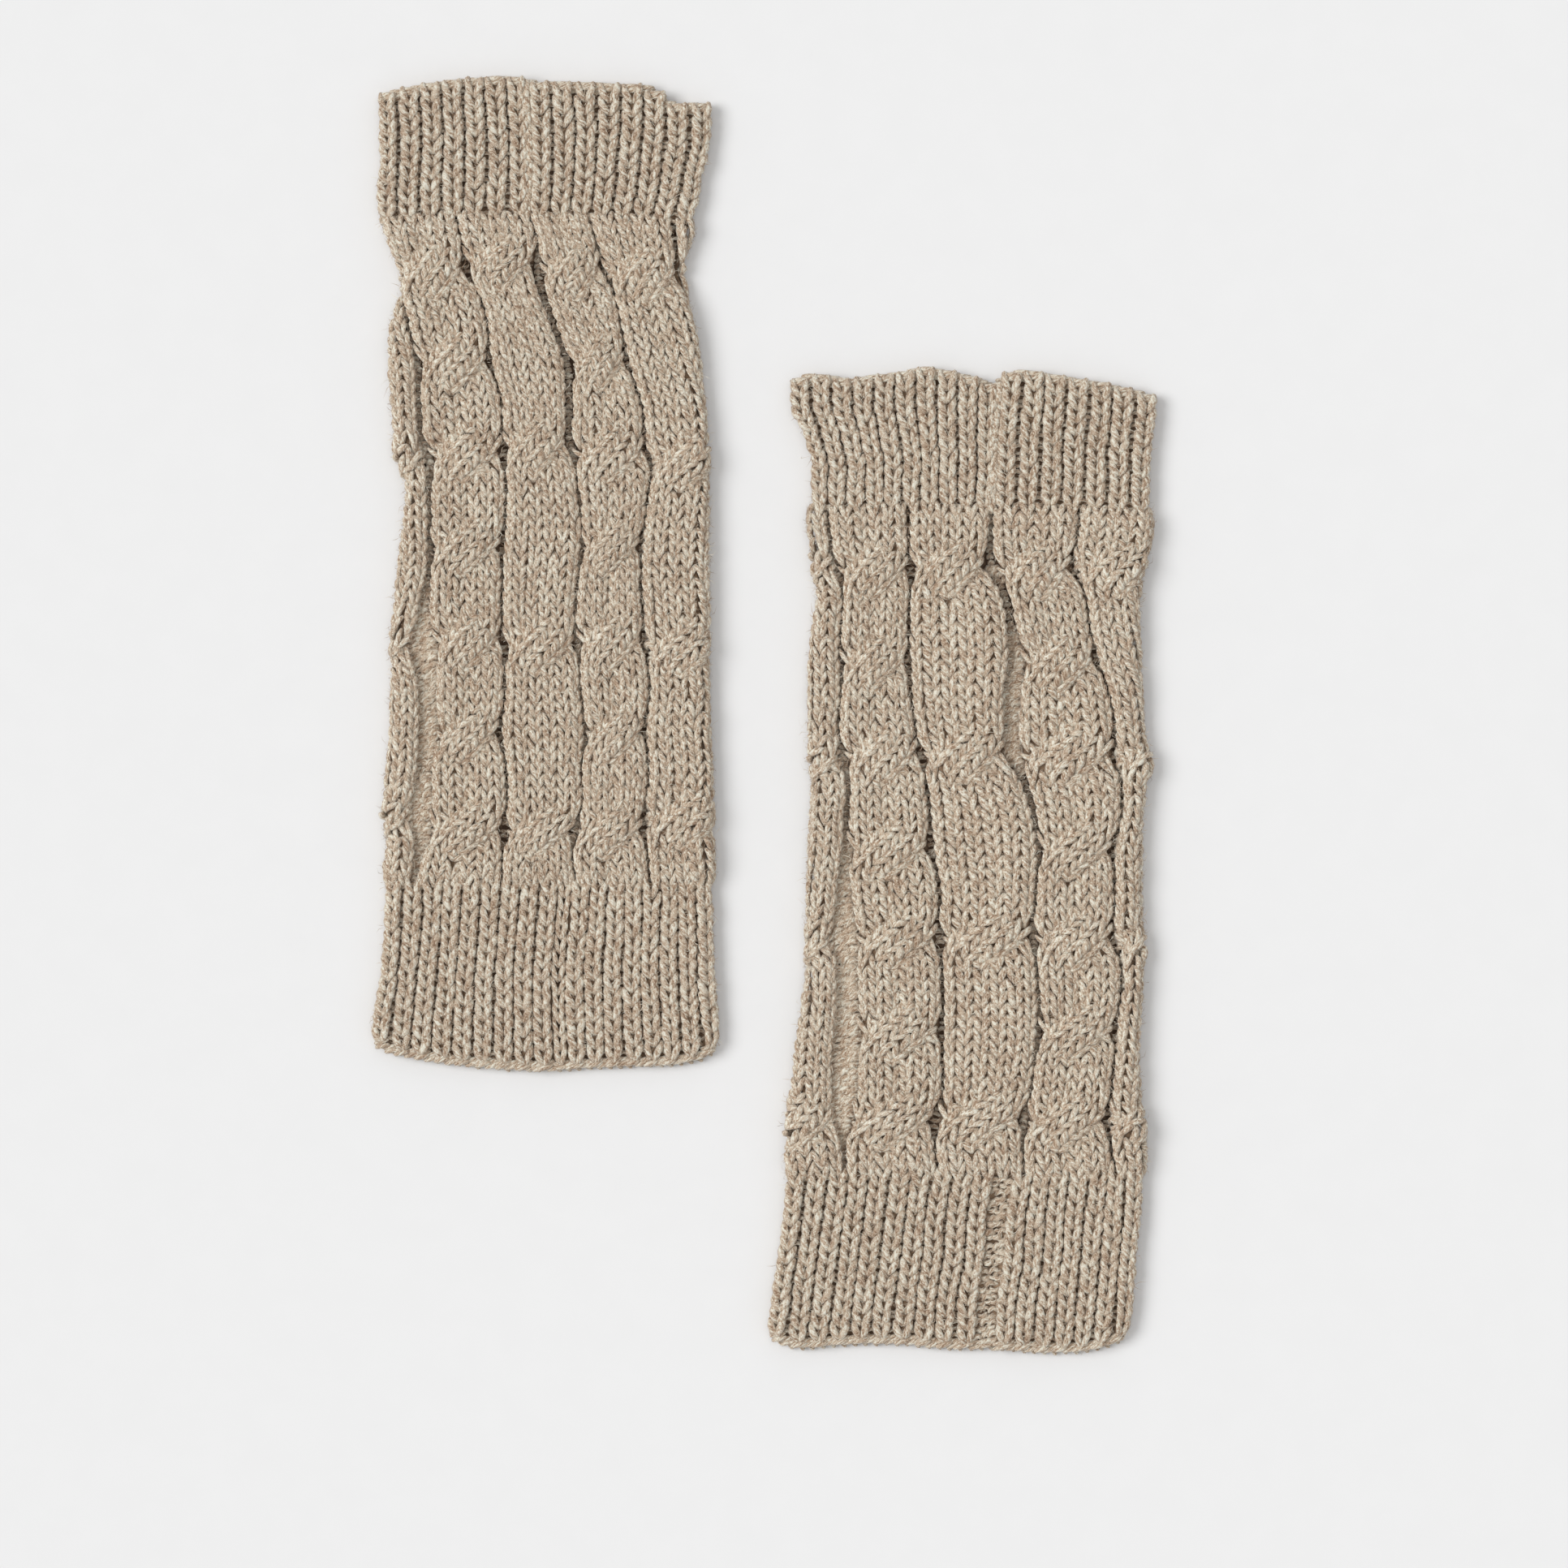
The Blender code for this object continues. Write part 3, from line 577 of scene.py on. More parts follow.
    def cloth_rise(self, down, wale):
        """Returns the height of the cloth under the stitches.

        It follows the upper of the two strands, with a pit beside them where they cross.
        """
        down, wale = np.broadcast_arrays(down, wale)
        panel, inside, reach = panel_place(wale)
        rise = np.maximum(-self.valley_drop(down, wale), LOWEST_CLOTH)
        for index in range(PANELS):
            here = (panel == index) & (inside > VALLEY_WALES) & (inside < PANEL_PITCH)
            heights = []
            offsets = []
            for is_over in (True, False):
                middle, turn = self.strand_line(index, down, is_over, down)
                offset = (reach - middle) * np.cos(turn)
                offsets.append(np.abs(offset))
                heights.append(self.strand_rise(index, down, reach, offset, is_over, down))
            pit = self.crossed(index, down, down) * ease((np.minimum(*offsets) - PIT_START) / PIT_EDGE)
            rise = np.where(here, np.maximum(*heights) * (1.0 - pit) + pit * LOWEST_CLOTH, rise)
        return rise


class Cuff(Tube):
    """A ribbed cuff: knit and purl wales in turn, evenly spaced from each fold to the seam's edge.

    Wales are counted round the tube from the left fold, 2 for each rib: purl at even, knit at odd ones. The
    underside has as many ribs as the top.
    """

    def __init__(self, leg, rows, ribs, seam, join_down):
        super().__init__(leg, rows, CUFF_FOLD_RISE)
        self.join_down = join_down
        self.seam = seam
        self.left_ribs, self.right_ribs = ribs
        self.front_wales = 2 * sum(ribs)
        self.wales = 2 * self.front_wales
        self.seam_wale = 2 * self.left_ribs

    def along(self, down, wale):
        """Returns how far round the tube a wale runs at a place down it."""
        down, wale = np.broadcast_arrays(down, wale)
        left, right = self.ends(down)
        flat = right - left
        start = np.full_like(flat, -self.fold_length / 2.0)
        seam = self.along_at(self.column("seam", down), left)
        middle = flat + self.fold_length / 2.0
        end = start + 2.0 * (flat + self.fold_length)
        before = self.seam.half_width or (seam - start) / self.left_ribs / 2.0
        after = self.seam.half_width or (middle - seam) / self.right_ribs / 2.0
        knots = (
            (0, start), (self.seam_wale - 1, seam - before), (self.seam_wale, seam),
            (self.seam_wale + 1, seam + after), (self.front_wales, middle), (self.wales, end),
        )
        places = np.mod(wale, self.wales)
        along = start
        for (first, low), (last, high) in zip(knots, knots[1:]):
            along = along + (high - low) * np.clip((places - first) / (last - first), 0.0, 1.0)
        return along

    def groove(self, down):
        """Returns how deep the grooves between the ribs are: they run out towards the body."""
        return RIB_PURL_SINK * ease(np.abs(down - self.join_down) / RIB_FADE + LEAST_GROOVE)

    def cloth_rise(self, down, wale):
        """Returns the height of the ribbed cloth under the stitches."""
        rib = 0.5 - 0.5 * np.cos(wale * math.pi)
        rise = RIB_RISE * RIB_CLOTH_SHARE * rib - self.groove(down) * (1.0 - rib)
        return np.maximum(rise, LOWEST_CLOTH)


Frames = namedtuple("Frames", "middle across downward out wale row outward")


def stitch_frames(locate, down, row_length):
    """Returns the middles and local directions of stitches.

    locate(down, step, shift) gives their points, moved on by a step down and by a share of a wale. The
    directions are across, down the wale and out of the stitch. Then come the wale's width and the row's
    length where the stitch lies, and the tube's own outward direction there.
    """
    step = row_length / 2.0
    middle, outward = locate(down, 0.0, 0.0)
    below = locate(down, step, 0.0)[0] - locate(down, -step, 0.0)[0]
    beside = locate(down, 0.0, 0.5)[0] - locate(down, 0.0, -0.5)[0]
    row = np.linalg.norm(below, axis=-1)
    downward = unit(below)
    out = unit(np.cross(downward, beside))
    across = unit(np.cross(out, downward))
    wale = np.abs(np.sum(beside * across, -1))
    return Frames(middle, across, downward, out, wale, row, outward)


def keep(frames, mask):
    """Returns only the stitches that the mask names."""
    return Frames(*(values[mask] for values in frames))


def join(parts):
    """Returns several sets of stitches as one."""
    return Frames(*(np.concatenate(values) for values in zip(*parts)))


# Paths of single strands in their stitch: across in wales, down in rows, outward in millimetres, and the
# thickness at each place as a share of the yarn's
Path = namedtuple("Path", "across down out thick")
KNIT_LEG = table(
    Path,
    (0.03, 0.88, -0.75, 0.48), (0.10, 0.48, 0.22, 0.92), (0.24, 0.03, 0.55, 1.03), (0.38, -0.35, 0.22, 0.96),
    (0.46, -0.66, -0.85, 0.52),
)
RIB_LEG = table(
    Path,
    (0.05, 0.56, -0.80, 0.50), (0.11, 0.32, 0.15, 0.88), (0.22, 0.00, 0.55, 1.02), (0.315, -0.38, 0.40, 0.98),
    (0.35, -0.88, -0.60, 0.66),
)
LOW_KNIT_LEG = table(
    Path,
    (0.18, 0.34, 0.0, 1.0), (0.32, -0.30, 0.0, 1.0),
)
PURL_BAR = table(
    Path,
    (-0.60, 0.16, -0.60, 0.55), (-0.32, -0.08, 0.20, 0.90), (0.0, -0.16, 0.45, 1.00),
    (0.32, -0.08, 0.20, 0.90), (0.60, 0.16, -0.60, 0.55),
)
EDGE_LINK = table(
    Path,
    (-0.06, 0.80, -0.60, 0.70), (-0.02, 0.42, 0.00, 0.95), (0.0, 0.00, 0.15, 1.05), (0.02, -0.42, 0.00, 0.95),
    (0.06, -0.80, -0.60, 0.70),
)
SEAM_COLUMN = table(
    Path,
    (-0.30, 0.85, -0.50, 0.70), (-0.24, 0.45, 0.10, 0.95), (-0.18, 0.00, 0.25, 1.05),
    (-0.12, -0.45, 0.10, 0.95), (-0.06, -0.85, -0.50, 0.70),
)
PURL_FOOT = table(
    Path,
    (-0.60, 0.28, -0.60, 0.55), (-0.30, 0.46, -0.20, 0.90), (0.0, 0.52, 0.0, 0.95), (0.30, 0.46, -0.20, 0.90),
    (0.60, 0.28, -0.60, 0.55),
)
LOW_PURL_BAR = table(
    Path,
    (-0.22, 0.0, 0.0, 1.0), (0.22, 0.0, 0.0, 1.0),
)


class Strands:
    """Short plump lengths of yarn, gathered into one mesh.

    Each differs a little from the next, in its turn (radians), its thickness and its place (millimetres).
    """

    TURN_SPREAD = 0.045
    SIZE_SPREAD = 0.05
    PLACE_SPREAD = 0.16
    MOST_FULL = 1.35
    FULL_TIP = 0.7
    LOW_TIP = 1.6
    FIBRE_TURNS = 0.55

    def __init__(self, seed):
        self.random = np.random.default_rng(seed)
        self.points = []
        self.faces = []
        self.fibres = []
        self.tints = []
        self.count = 0

    def add(
        self, frames, path, sides, mirror=False, radius=YARN_RADIUS, jitter=1.0, tilt=0.0, wide_is_thick=False
    ):
        """Adds one strand of the given path to each stitch."""
        number = len(frames.middle)
        if number == 0:
            return
        rings = len(path)
        random = self.random
        sign = -1.0 if mirror else 1.0
        across = np.array([place.across for place in path]) * sign
        down = np.array([place.down for place in path])
        out = np.array([place.out for place in path])
        thick = np.array([place.thick for place in path])
        angle = random.normal(0.0, self.TURN_SPREAD * jitter, number) + tilt
        size = 1.0 + random.normal(0.0, self.SIZE_SPREAD * jitter, number)
        slip = random.normal(0.0, self.PLACE_SPREAD * jitter, (number, 3))
        local_across = across * frames.wale[:, None] + slip[:, :1]
        local_down = down * frames.row[:, None] + slip[:, 1:2]
        turn_cos = np.cos(angle)[:, None]
        turn_sin = np.sin(angle)[:, None]
        turned_across = local_across * turn_cos - local_down * turn_sin
        turned_down = local_across * turn_sin + local_down * turn_cos
        local_out = out + 0.8 * slip[:, 2:3]
        middles = (
            frames.middle[:, None]
            + frames.across[:, None] * turned_across[..., None]
            + frames.downward[:, None] * turned_down[..., None]
            + frames.out[:, None] * local_out[..., None]
        )
        tangents = unit(np.gradient(middles, axis=1))
        sideways = unit(np.cross(frames.out[:, None], tangents))
        upward = unit(np.cross(tangents, sideways))
        fuller = np.clip(frames.wale / WIDE_WALE, 1.0, self.MOST_FULL) if wide_is_thick else 1.0
        radii = radius * thick * (size * fuller)[:, None]
        tip = self.LOW_TIP if rings == 2 else self.FULL_TIP
        tip_reach = radii[:, [0, -1], None] * tip * np.array([-1.0, 1.0])[:, None]
        angles = np.arange(sides) * 2.0 * math.pi / sides
        ring = (
            sideways[:, :, None] * np.cos(angles)[:, None]
            + upward[:, :, None] * np.sin(angles)[:, None]
        )
        points = middles[:, :, None] + ring * radii[:, :, None, None]
        steps = np.linalg.norm(np.diff(middles, axis=1), axis=-1)
        lengths = np.concatenate((np.zeros((number, 1)), np.cumsum(steps, 1)), 1)
        twist = angles + lengths[:, :, None] * self.FIBRE_TURNS
        offset = random.uniform(0.0, 200.0, (number, 1, 1))
        passed = np.broadcast_to(lengths[:, :, None] + offset, twist.shape)
        fibre = np.stack((np.cos(twist), np.sin(twist), passed), -1)
        tips = middles[:, [0, -1]] + tangents[:, [0, -1]] * tip_reach
        tip_fibre = np.zeros((number, 2, 3))
        tip_fibre[..., 2] = lengths[:, [0, -1]] + offset[:, 0]
        per_strand = rings * sides + 2
        block = np.concatenate((points.reshape(number, -1, 3), tips), 1)
        fibres = np.concatenate((fibre.reshape(number, -1, 3), tip_fibre), 1)
        self.points.append(block.reshape(-1, 3))
        self.fibres.append(fibres.reshape(-1, 3))
        self.tints.append(np.repeat(random.uniform(0.0, 1.0, number), per_strand))
        self.faces.append(self.strand_faces(rings, sides, number, per_strand) + self.count)
        self.count += number * per_strand

    @staticmethod
    def strand_faces(rings, sides, number, per_strand):
        """Returns the triangles of every strand, facing out."""
        triangles = []
        for ring in range(rings - 1):
            for side in range(sides):
                a = ring * sides + side
                b = ring * sides + (side + 1) % sides
                triangles += [(a, b, b + sides), (a, b + sides, a + sides)]
        first_tip = rings * sides
        last = (rings - 1) * sides
        for side in range(sides):
            following = (side + 1) % sides
            triangles.append((first_tip, following, side))
            triangles.append((first_tip + 1, last + side, last + following))
        base = np.array(triangles)
        return (base[None] + (np.arange(number) * per_strand)[:, None, None]).reshape(-1, 3)

    def build(self, name, material):
        """Makes the piece."""
        points = np.concatenate(self.points)
        points[:, 2] = np.maximum(points[:, 2], FLOOR_GAP)
        points = points * MM
        faces = np.concatenate(self.faces)
        piece = mesh_piece(name, points, faces, material)
        fibre = piece.data.attributes.new("fibre", "FLOAT_VECTOR", "POINT")
        fibre.data.foreach_set("vector", np.concatenate(self.fibres).astype(np.float32).ravel())
        add_values(piece, "tint", np.concatenate(self.tints))
        return piece


def mesh_piece(name, points, faces, material):
    """Makes a smooth mesh object from arrays of points and of triangles or quads."""
    data = bpy.data.meshes.new(name)
    corners = faces.shape[1]
    data.vertices.add(len(points))
    data.vertices.foreach_set("co", points.astype(np.float32).ravel())
    data.loops.add(faces.size)
    data.loops.foreach_set("vertex_index", faces.astype(np.int32).ravel())
    data.polygons.add(len(faces))
    data.polygons.foreach_set("loop_start", np.arange(0, faces.size, corners, dtype=np.int32))
    data.update(calc_edges=True)
    data.validate()
    data.shade_smooth()
    data.materials.append(material)
    piece = bpy.data.objects.new(name, data)
    bpy.context.scene.collection.objects.link(piece)
    return piece


def add_values(piece, name, values):
    """Gives a mesh object one number for each of its points."""
    numbers = piece.data.attributes.new(name, "FLOAT", "POINT")
    numbers.data.foreach_set("value", values.astype(np.float32))


class Shader:
    """Short calls for building a material's nodes. An input is a value, or another node's output."""

    def __init__(self, name):
        self.material = bpy.data.materials.new(name)
        self.material.use_nodes = True
        self.tree = self.material.node_tree
        self.surface = self.tree.nodes["Principled BSDF"]

    def fill(self, node, inputs):
        """Sets or links the named inputs of a node and returns its outputs."""
        for name, value in inputs.items():
            if isinstance(value, bpy.types.NodeSocket):
                self.tree.links.new(value, node.inputs[name])
            else:
                node.inputs[name].default_value = value
        return node.outputs

    def node(self, kind, inputs, **settings):
        made = self.tree.nodes.new(kind)
        for name, value in settings.items():
            setattr(made, name, value)
        return self.fill(made, inputs)

    def attribute(self, name, output):
        return self.node("ShaderNodeAttribute", {}, attribute_name=name)[output]

    def place(self):
        return self.node("ShaderNodeTexCoord", {})["Object"]

    def noise(self, vector, scale, detail=3.0, roughness=0.55):
        inputs = {"Vector": vector, "Scale": scale, "Detail": detail, "Roughness": roughness}
        return self.node("ShaderNodeTexNoise", inputs)["Fac"]

    def stretch(self, vector, scale):
        return self.node("ShaderNodeMapping", {"Vector": vector, "Scale": scale})["Vector"]

    def ramp(self, value, stops):
        made = self.tree.nodes.new("ShaderNodeValToRGB")
        ramp = made.color_ramp
        while len(ramp.elements) < len(stops):
            ramp.elements.new(0.5)
        for element, (place, colour) in zip(ramp.elements, stops):
            element.position = place
            element.color = (*colour, 1.0)
        return self.fill(made, {"Fac": value})["Color"]

    def math(self, operation, first, second):
        return self.node("ShaderNodeMath", {0: first, 1: second}, operation=operation)["Value"]

    def mix(self, share, first, second, blend="MIX"):
        inputs = {0: share, 6: first, 7: (*second, 1.0)}
        return self.node("ShaderNodeMix", inputs, data_type="RGBA", blend_type=blend)[2]

    def bump(self, height, strength, distance):
        inputs = {"Height": height, "Strength": strength, "Distance": distance}
        self.fill(self.surface, {"Normal": self.node("ShaderNodeBump", inputs)["Normal"]})

    def finish(self, colour, roughness, sheen):
        self.fill(self.surface, {
            "Base Color": colour, "Roughness": roughness, "Specular IOR Level": 0.25,
            "Sheen Weight": sheen, "Sheen Roughness": 0.55, "Sheen Tint": (1.0, 0.96, 0.9, 1.0),
        })
        return self.material


# Colours of the melange yarn, from its brown fibres to its pale ones
BROWN_FIBRE = (0.265, 0.168, 0.105)
TAUPE_FIBRE = (0.50, 0.375, 0.268)
BEIGE_FIBRE = (0.61, 0.512, 0.395)
CREAM_FIBRE = (0.80, 0.768, 0.655)


def yarn_material(name, shade):
    """Returns the melange yarn: fibres of several tones that run along each strand, with a soft bloom. Its
    colour is darkened by the shade given, which is painted shade.
    """
    shader = Shader(name)
    fibre = shader.attribute("fibre", "Vector")
    tint = shader.attribute("tint", "Fac")
    place = shader.place()
    streaks = shader.noise(shader.stretch(fibre, (1.7, 1.7, 0.24)), 1.0, 2.0, 0.5)
    fine = shader.noise(shader.stretch(fibre, (2.9, 2.9, 0.36)), 1.0, 2.0, 0.55)
    broad = shader.noise(place, 45.0, 2.0)
    value = shader.math("ADD", shader.math("MULTIPLY", streaks, 0.6), shader.math("MULTIPLY", fine, 0.4))
    value = shader.math("ADD", value, shader.math("MULTIPLY", shader.math("SUBTRACT", tint, 0.5), 0.03))
    value = shader.math("ADD", value, shader.math("MULTIPLY", shader.math("SUBTRACT", broad, 0.5), 0.03))
    colour = shader.ramp(
        value,
        ((0.39, BROWN_FIBRE), (0.455, TAUPE_FIBRE), (0.52, BEIGE_FIBRE), (0.585, CREAM_FIBRE)),
    )
    # Painted shade: the whole colour is multiplied by the shade given
    colour = shader.mix(1.0, colour, (shade, shade, shade), "MULTIPLY")
    shader.bump(value, 0.7, 0.0008)
    return shader.finish(colour, 0.92, 0.35)


def shaded_cloth_material(name):
    """Returns the cloth under the stitches: the same yarn, with painted shade, as dark as it looks in the
    shade between them.
    """
    shader = Shader(name)
    place = shader.place()
    coarse = shader.noise(place, 420.0, 3.0)
    # Painted shade: the cloth's browns are the yarn's colours darkened to the shade between the stitches
    colour = shader.ramp(coarse, ((0.35, (0.17, 0.11, 0.068)), (0.62, (0.33, 0.225, 0.145))))
    # Painted shade: where the cloth lies deep, its colour is mixed towards a near-black brown
    depth = shader.attribute("depth", "Fac")
    colour = shader.mix(depth, colour, (0.07, 0.042, 0.026))
    shader.bump(coarse, 0.6, 0.001)
    return shader.finish(colour, 0.95, 0.15)


def fuzz_material(name):
    """Returns the loose fibres that stand off the yarn."""
    shader = Shader(name)
    tint = shader.attribute("tint", "Fac")
    colour = shader.ramp(tint, ((0.0, BROWN_FIBRE), (0.4, TAUPE_FIBRE), (1.0, CREAM_FIBRE)))
    return shader.finish(colour, 0.8, 0.2)


def floor_material():
    """Returns the plain pale floor."""
    shader = Shader("pale_floor")
    place = shader.place()
    grain = shader.noise(place, 60.0, 3.0)
    colour = shader.ramp(grain, ((0.3, (0.815, 0.815, 0.815)), (0.7, (0.825, 0.825, 0.825))))
    return shader.finish(colour, 0.9, 0.0)


def add_cloth(name, tube, downs, wales, material, top_sink):
    """Adds the thin cloth of one stretch: an outer wall under the stitches and a plain slit inside it."""
    grid_down, grid_wale = np.meshgrid(downs, wales, indexing="ij")
    along = tube.along(grid_down, grid_wale)
    rise = tube.cloth_rise(grid_down, grid_wale)
    outer, outward = tube.point(grid_down, along, rise)
    top_share = np.clip(outward[..., 2] + 1.0, 0.0, 1.0)
    sink = UNDERSIDE_CLOTH_SINK + (top_sink - UNDERSIDE_CLOTH_SINK) * top_share
    outer = outer - outward * sink[..., None]
    left, right = tube.ends(grid_down)
    low = tube.leg.datum_x + left - FOLD_WIDTH
    high = tube.leg.datum_x + right + FOLD_WIDTH
    inner_x = low + SLIT_END + (outer[..., 0] - low) * (high - low - 2.0 * SLIT_END) / (high - low)
    # The slit stays under the lowest level cloth, because valleys lie beside the places where it is narrowed
    roof = outer[..., 2][outward[..., 2] > LEVEL].min() - SLIT_COVER
    inner_z = np.minimum(outer[..., 2] - CLOTH_WALL * outward[..., 2], roof)
    inner = np.stack((inner_x, outer[..., 1], inner_z), -1)
    rows, columns = grid_down.shape
    index = np.arange(rows * columns).reshape(rows, columns)
    following = np.roll(index, -1, 1)
    walls = np.stack((index[:-1], index[1:], following[1:], following[:-1]), -1).reshape(-1, 4)
    shift = rows * columns
    inside = walls[:, ::-1] + shift
    mouths = [
        np.stack((index[0], following[0], following[0] + shift, index[0] + shift), -1),
        np.stack((index[-1] + shift, following[-1] + shift, following[-1], index[-1]), -1),
    ]
    points = np.concatenate((outer.reshape(-1, 3), inner.reshape(-1, 3))) * MM
    piece = mesh_piece(name, points, np.concatenate((walls, inside, *mouths)), material)
    # How deep the cloth lies, from 0 to 1, for the painted shade of its material
    depth = np.clip(rise / LOWEST_CLOTH, 0.0, 1.0).ravel()
    add_values(piece, "depth", np.concatenate((depth, depth)))
    return piece


def row_places(start, end, rows):
    """Returns the middle of each row and the length of one."""
    length = (end - start) / rows
    return start + (np.arange(rows) + 0.5) * length, length


def wobble(down, wale, seed):
    """Returns small slow waves, so that no wale runs quite straight."""
    phase = seed * 1.7 + wale * 2.1
    return 0.5 * np.sin(down / 17.0 + phase) + 0.35 * np.sin(down / 7.3 + 1.9 * phase)


def knit_frames(body):
    """Returns the knit stitches of the cabled body: three wales for each of a panel's two strands."""
    knit = []
    for panel in range(PANELS):
        first = 1.0 + PANEL_PITCH * panel
        downs, rows = body.strand_rows(panel)
        for is_over in (True, False):
            for place in (-1.0, 0.0, 1.0):

                def locate(anchor, step, shift):
                    down, wale, rise = body.strand_place(panel, anchor, step, place + shift, is_over)
                    along = body.along(down, wale) + BODY_WOBBLE * wobble(down, first + place, 3.0)
                    return body.point(down, along, rise)

                frames = stitch_frames(locate, downs, rows)
                if not is_over:
                    middle = body.strand_line(panel, downs, False, downs)[0]
                    frames = keep(frames, np.abs(2.0 * middle) > COVERED_STRAND)
                knit.append(frames)
    return join(knit)


def purl_frames(body):
    """Returns the purl stitches of the valleys: the plain ones, and the loose ones.

    Loose ones lie where a valley is wide, and on the flanks of the panels beside the folds.
    """
    downs, row = row_places(UPPER_CUFF_END - JOIN_OVERLAP, LOWER_CUFF_START + JOIN_OVERLAP, BODY_ROWS)
    plain = []
    loose = []
    for valley in range(PANELS):
        width_name, wide_from = OPEN_VALLEYS.get(valley, (None, None))
        for place in BAR_PLACES.get(valley, (0.0,)):
            wale = PANEL_PITCH * valley + place
            is_flank = abs(place) > 1.0
            width, least_length = PLAIN_BAR_WIDTH, PLAIN_BAR_LENGTH
            if width_name or is_flank:
                width, least_length = OPEN_BAR_WIDTH, OPEN_BAR_LENGTH
            sink = OPEN_BAR_SINK if width_name else PLAIN_BAR_SINK

            def locate(anchor, step, shift):
                down = anchor + step
                along = body.along(down, wale + shift * width)
                if is_flank:
                    rise = body.fade(down) * (FLANK_RISE + FLANK_SLOPE * shift * np.sign(place))
                else:
                    drop = body.valley_drop(down, wale)
                    rise = np.maximum(-drop - sink * ease(drop - 0.5), LOWEST_BAR)
                return body.point(down, along, rise)

            places = downs[:-1] + 0.5 * row * (place == 0.0)
            if width_name and not is_flank:
                places = np.concatenate((places, places + 0.5 * row))
            frames = stitch_frames(locate, places, row)
            frames = frames._replace(wale=np.maximum(frames.wale, least_length))
            if is_flank:
                loose.append(keep(frames, is_seen(frames)))
            elif width_name:
                is_wide = body.columns[width_name](places) > wide_from
                loose.append(keep(frames, is_wide))
                if place == 0.0:
                    plain.append(keep(frames, ~is_wide))
            else:
                plain.append(frames)
    return join(plain), join(loose)


def cuff_frames(cuff, start, end, rows):
    """Returns the knit and purl stitches of a ribbed cuff, and the ones of its seam."""
    downs, row = row_places(start, end, rows)
    knit = []
    purl = []
    seam = []
    wales = [number for number in range(cuff.wales) if number != cuff.seam_wale]
    for number in [*wales, *(cuff.seam_wale + place for place in cuff.seam.places)]:
        is_seam = number not in wales
        is_knit = number % 2 == 1
        width = RIB_WIDTH if is_knit else RIB_PURL_WIDTH
        if is_seam:
            width = RIB_PURL_WIDTH / len(cuff.seam.places)

        def locate(anchor, step, shift):
            down = anchor + step
            along = cuff.along(down, number + shift * width) + CUFF_WOBBLE * wobble(down, number, 5.0)
            if is_seam:
                rise = np.full_like(down, cuff.seam.rise)
            elif is_knit:
                rise = np.full_like(down, KNIT_RIB_RISE)
            else:
                rise = -cuff.groove(down)
            return cuff.point(down, along, rise)

        frames = stitch_frames(locate, downs, row)
        if cuff.seam.half_width and abs(number - cuff.seam_wale) == 1:
            # The ribs beside a wide seam are no wider than the others
            frames = frames._replace(wale=np.minimum(frames.wale, knit[1].wale))
        if is_seam:
            seam.append(frames)
        elif is_knit:
            knit.append(frames)
        else:
            purl.append(frames)
    return join(knit), join(purl), join(seam)


def edge_frames(cuff, down):
    """Returns the links of the chain along an open edge, one for each wale, turned to lie along it."""
    numbers = np.arange(cuff.wales, dtype=float)
    purl_rise, knit_rise = EDGE_RISES

    def locate(anchor, step, shift):
        rise = np.where(numbers % 2 == 1, knit_rise, purl_rise)
        return cuff.point(anchor + step, cuff.along(anchor, numbers + shift), rise)

    frames = stitch_frames(locate, np.full_like(numbers, down), EDGE_LINK_LENGTH)
    return frames._replace(
        across=frames.downward, downward=frames.across, wale=frames.row, row=frames.wale
    )


def is_seen(frames):
    """Tells which stitches face up or sideways, and so need their full form."""
    return frames.outward[:, 2] > -0.55


def add_knit(strands, frames, path=KNIT_LEG):
    """Adds both legs of each knit stitch."""
    for mirror in (False, True):
        if path is LOW_KNIT_LEG:
            strands.add(frames, path, 4, mirror, YARN_RADIUS * 0.95)
        else:
            strands.add(frames, path, 5, mirror, wide_is_thick=True)


def add_purl(strands, frames, radius, jitter=1.0, tilt=0.0):
    """Adds the head and the foot of each purl stitch."""
    for path in (PURL_BAR, PURL_FOOT):
        strands.add(frames, path, 5, False, radius, jitter, tilt)


def hidden_strands(knit, purl, seed):
    """Returns the simpler strands of the underside: the stitches out of these that face the floor."""
    hidden = Strands(seed)
    add_knit(hidden, keep(knit, ~is_seen(knit)), LOW_KNIT_LEG)
    hidden.add(keep(purl, ~is_seen(purl)), LOW_PURL_BAR, 4, radius=YARN_RADIUS * 0.8)
    return hidden


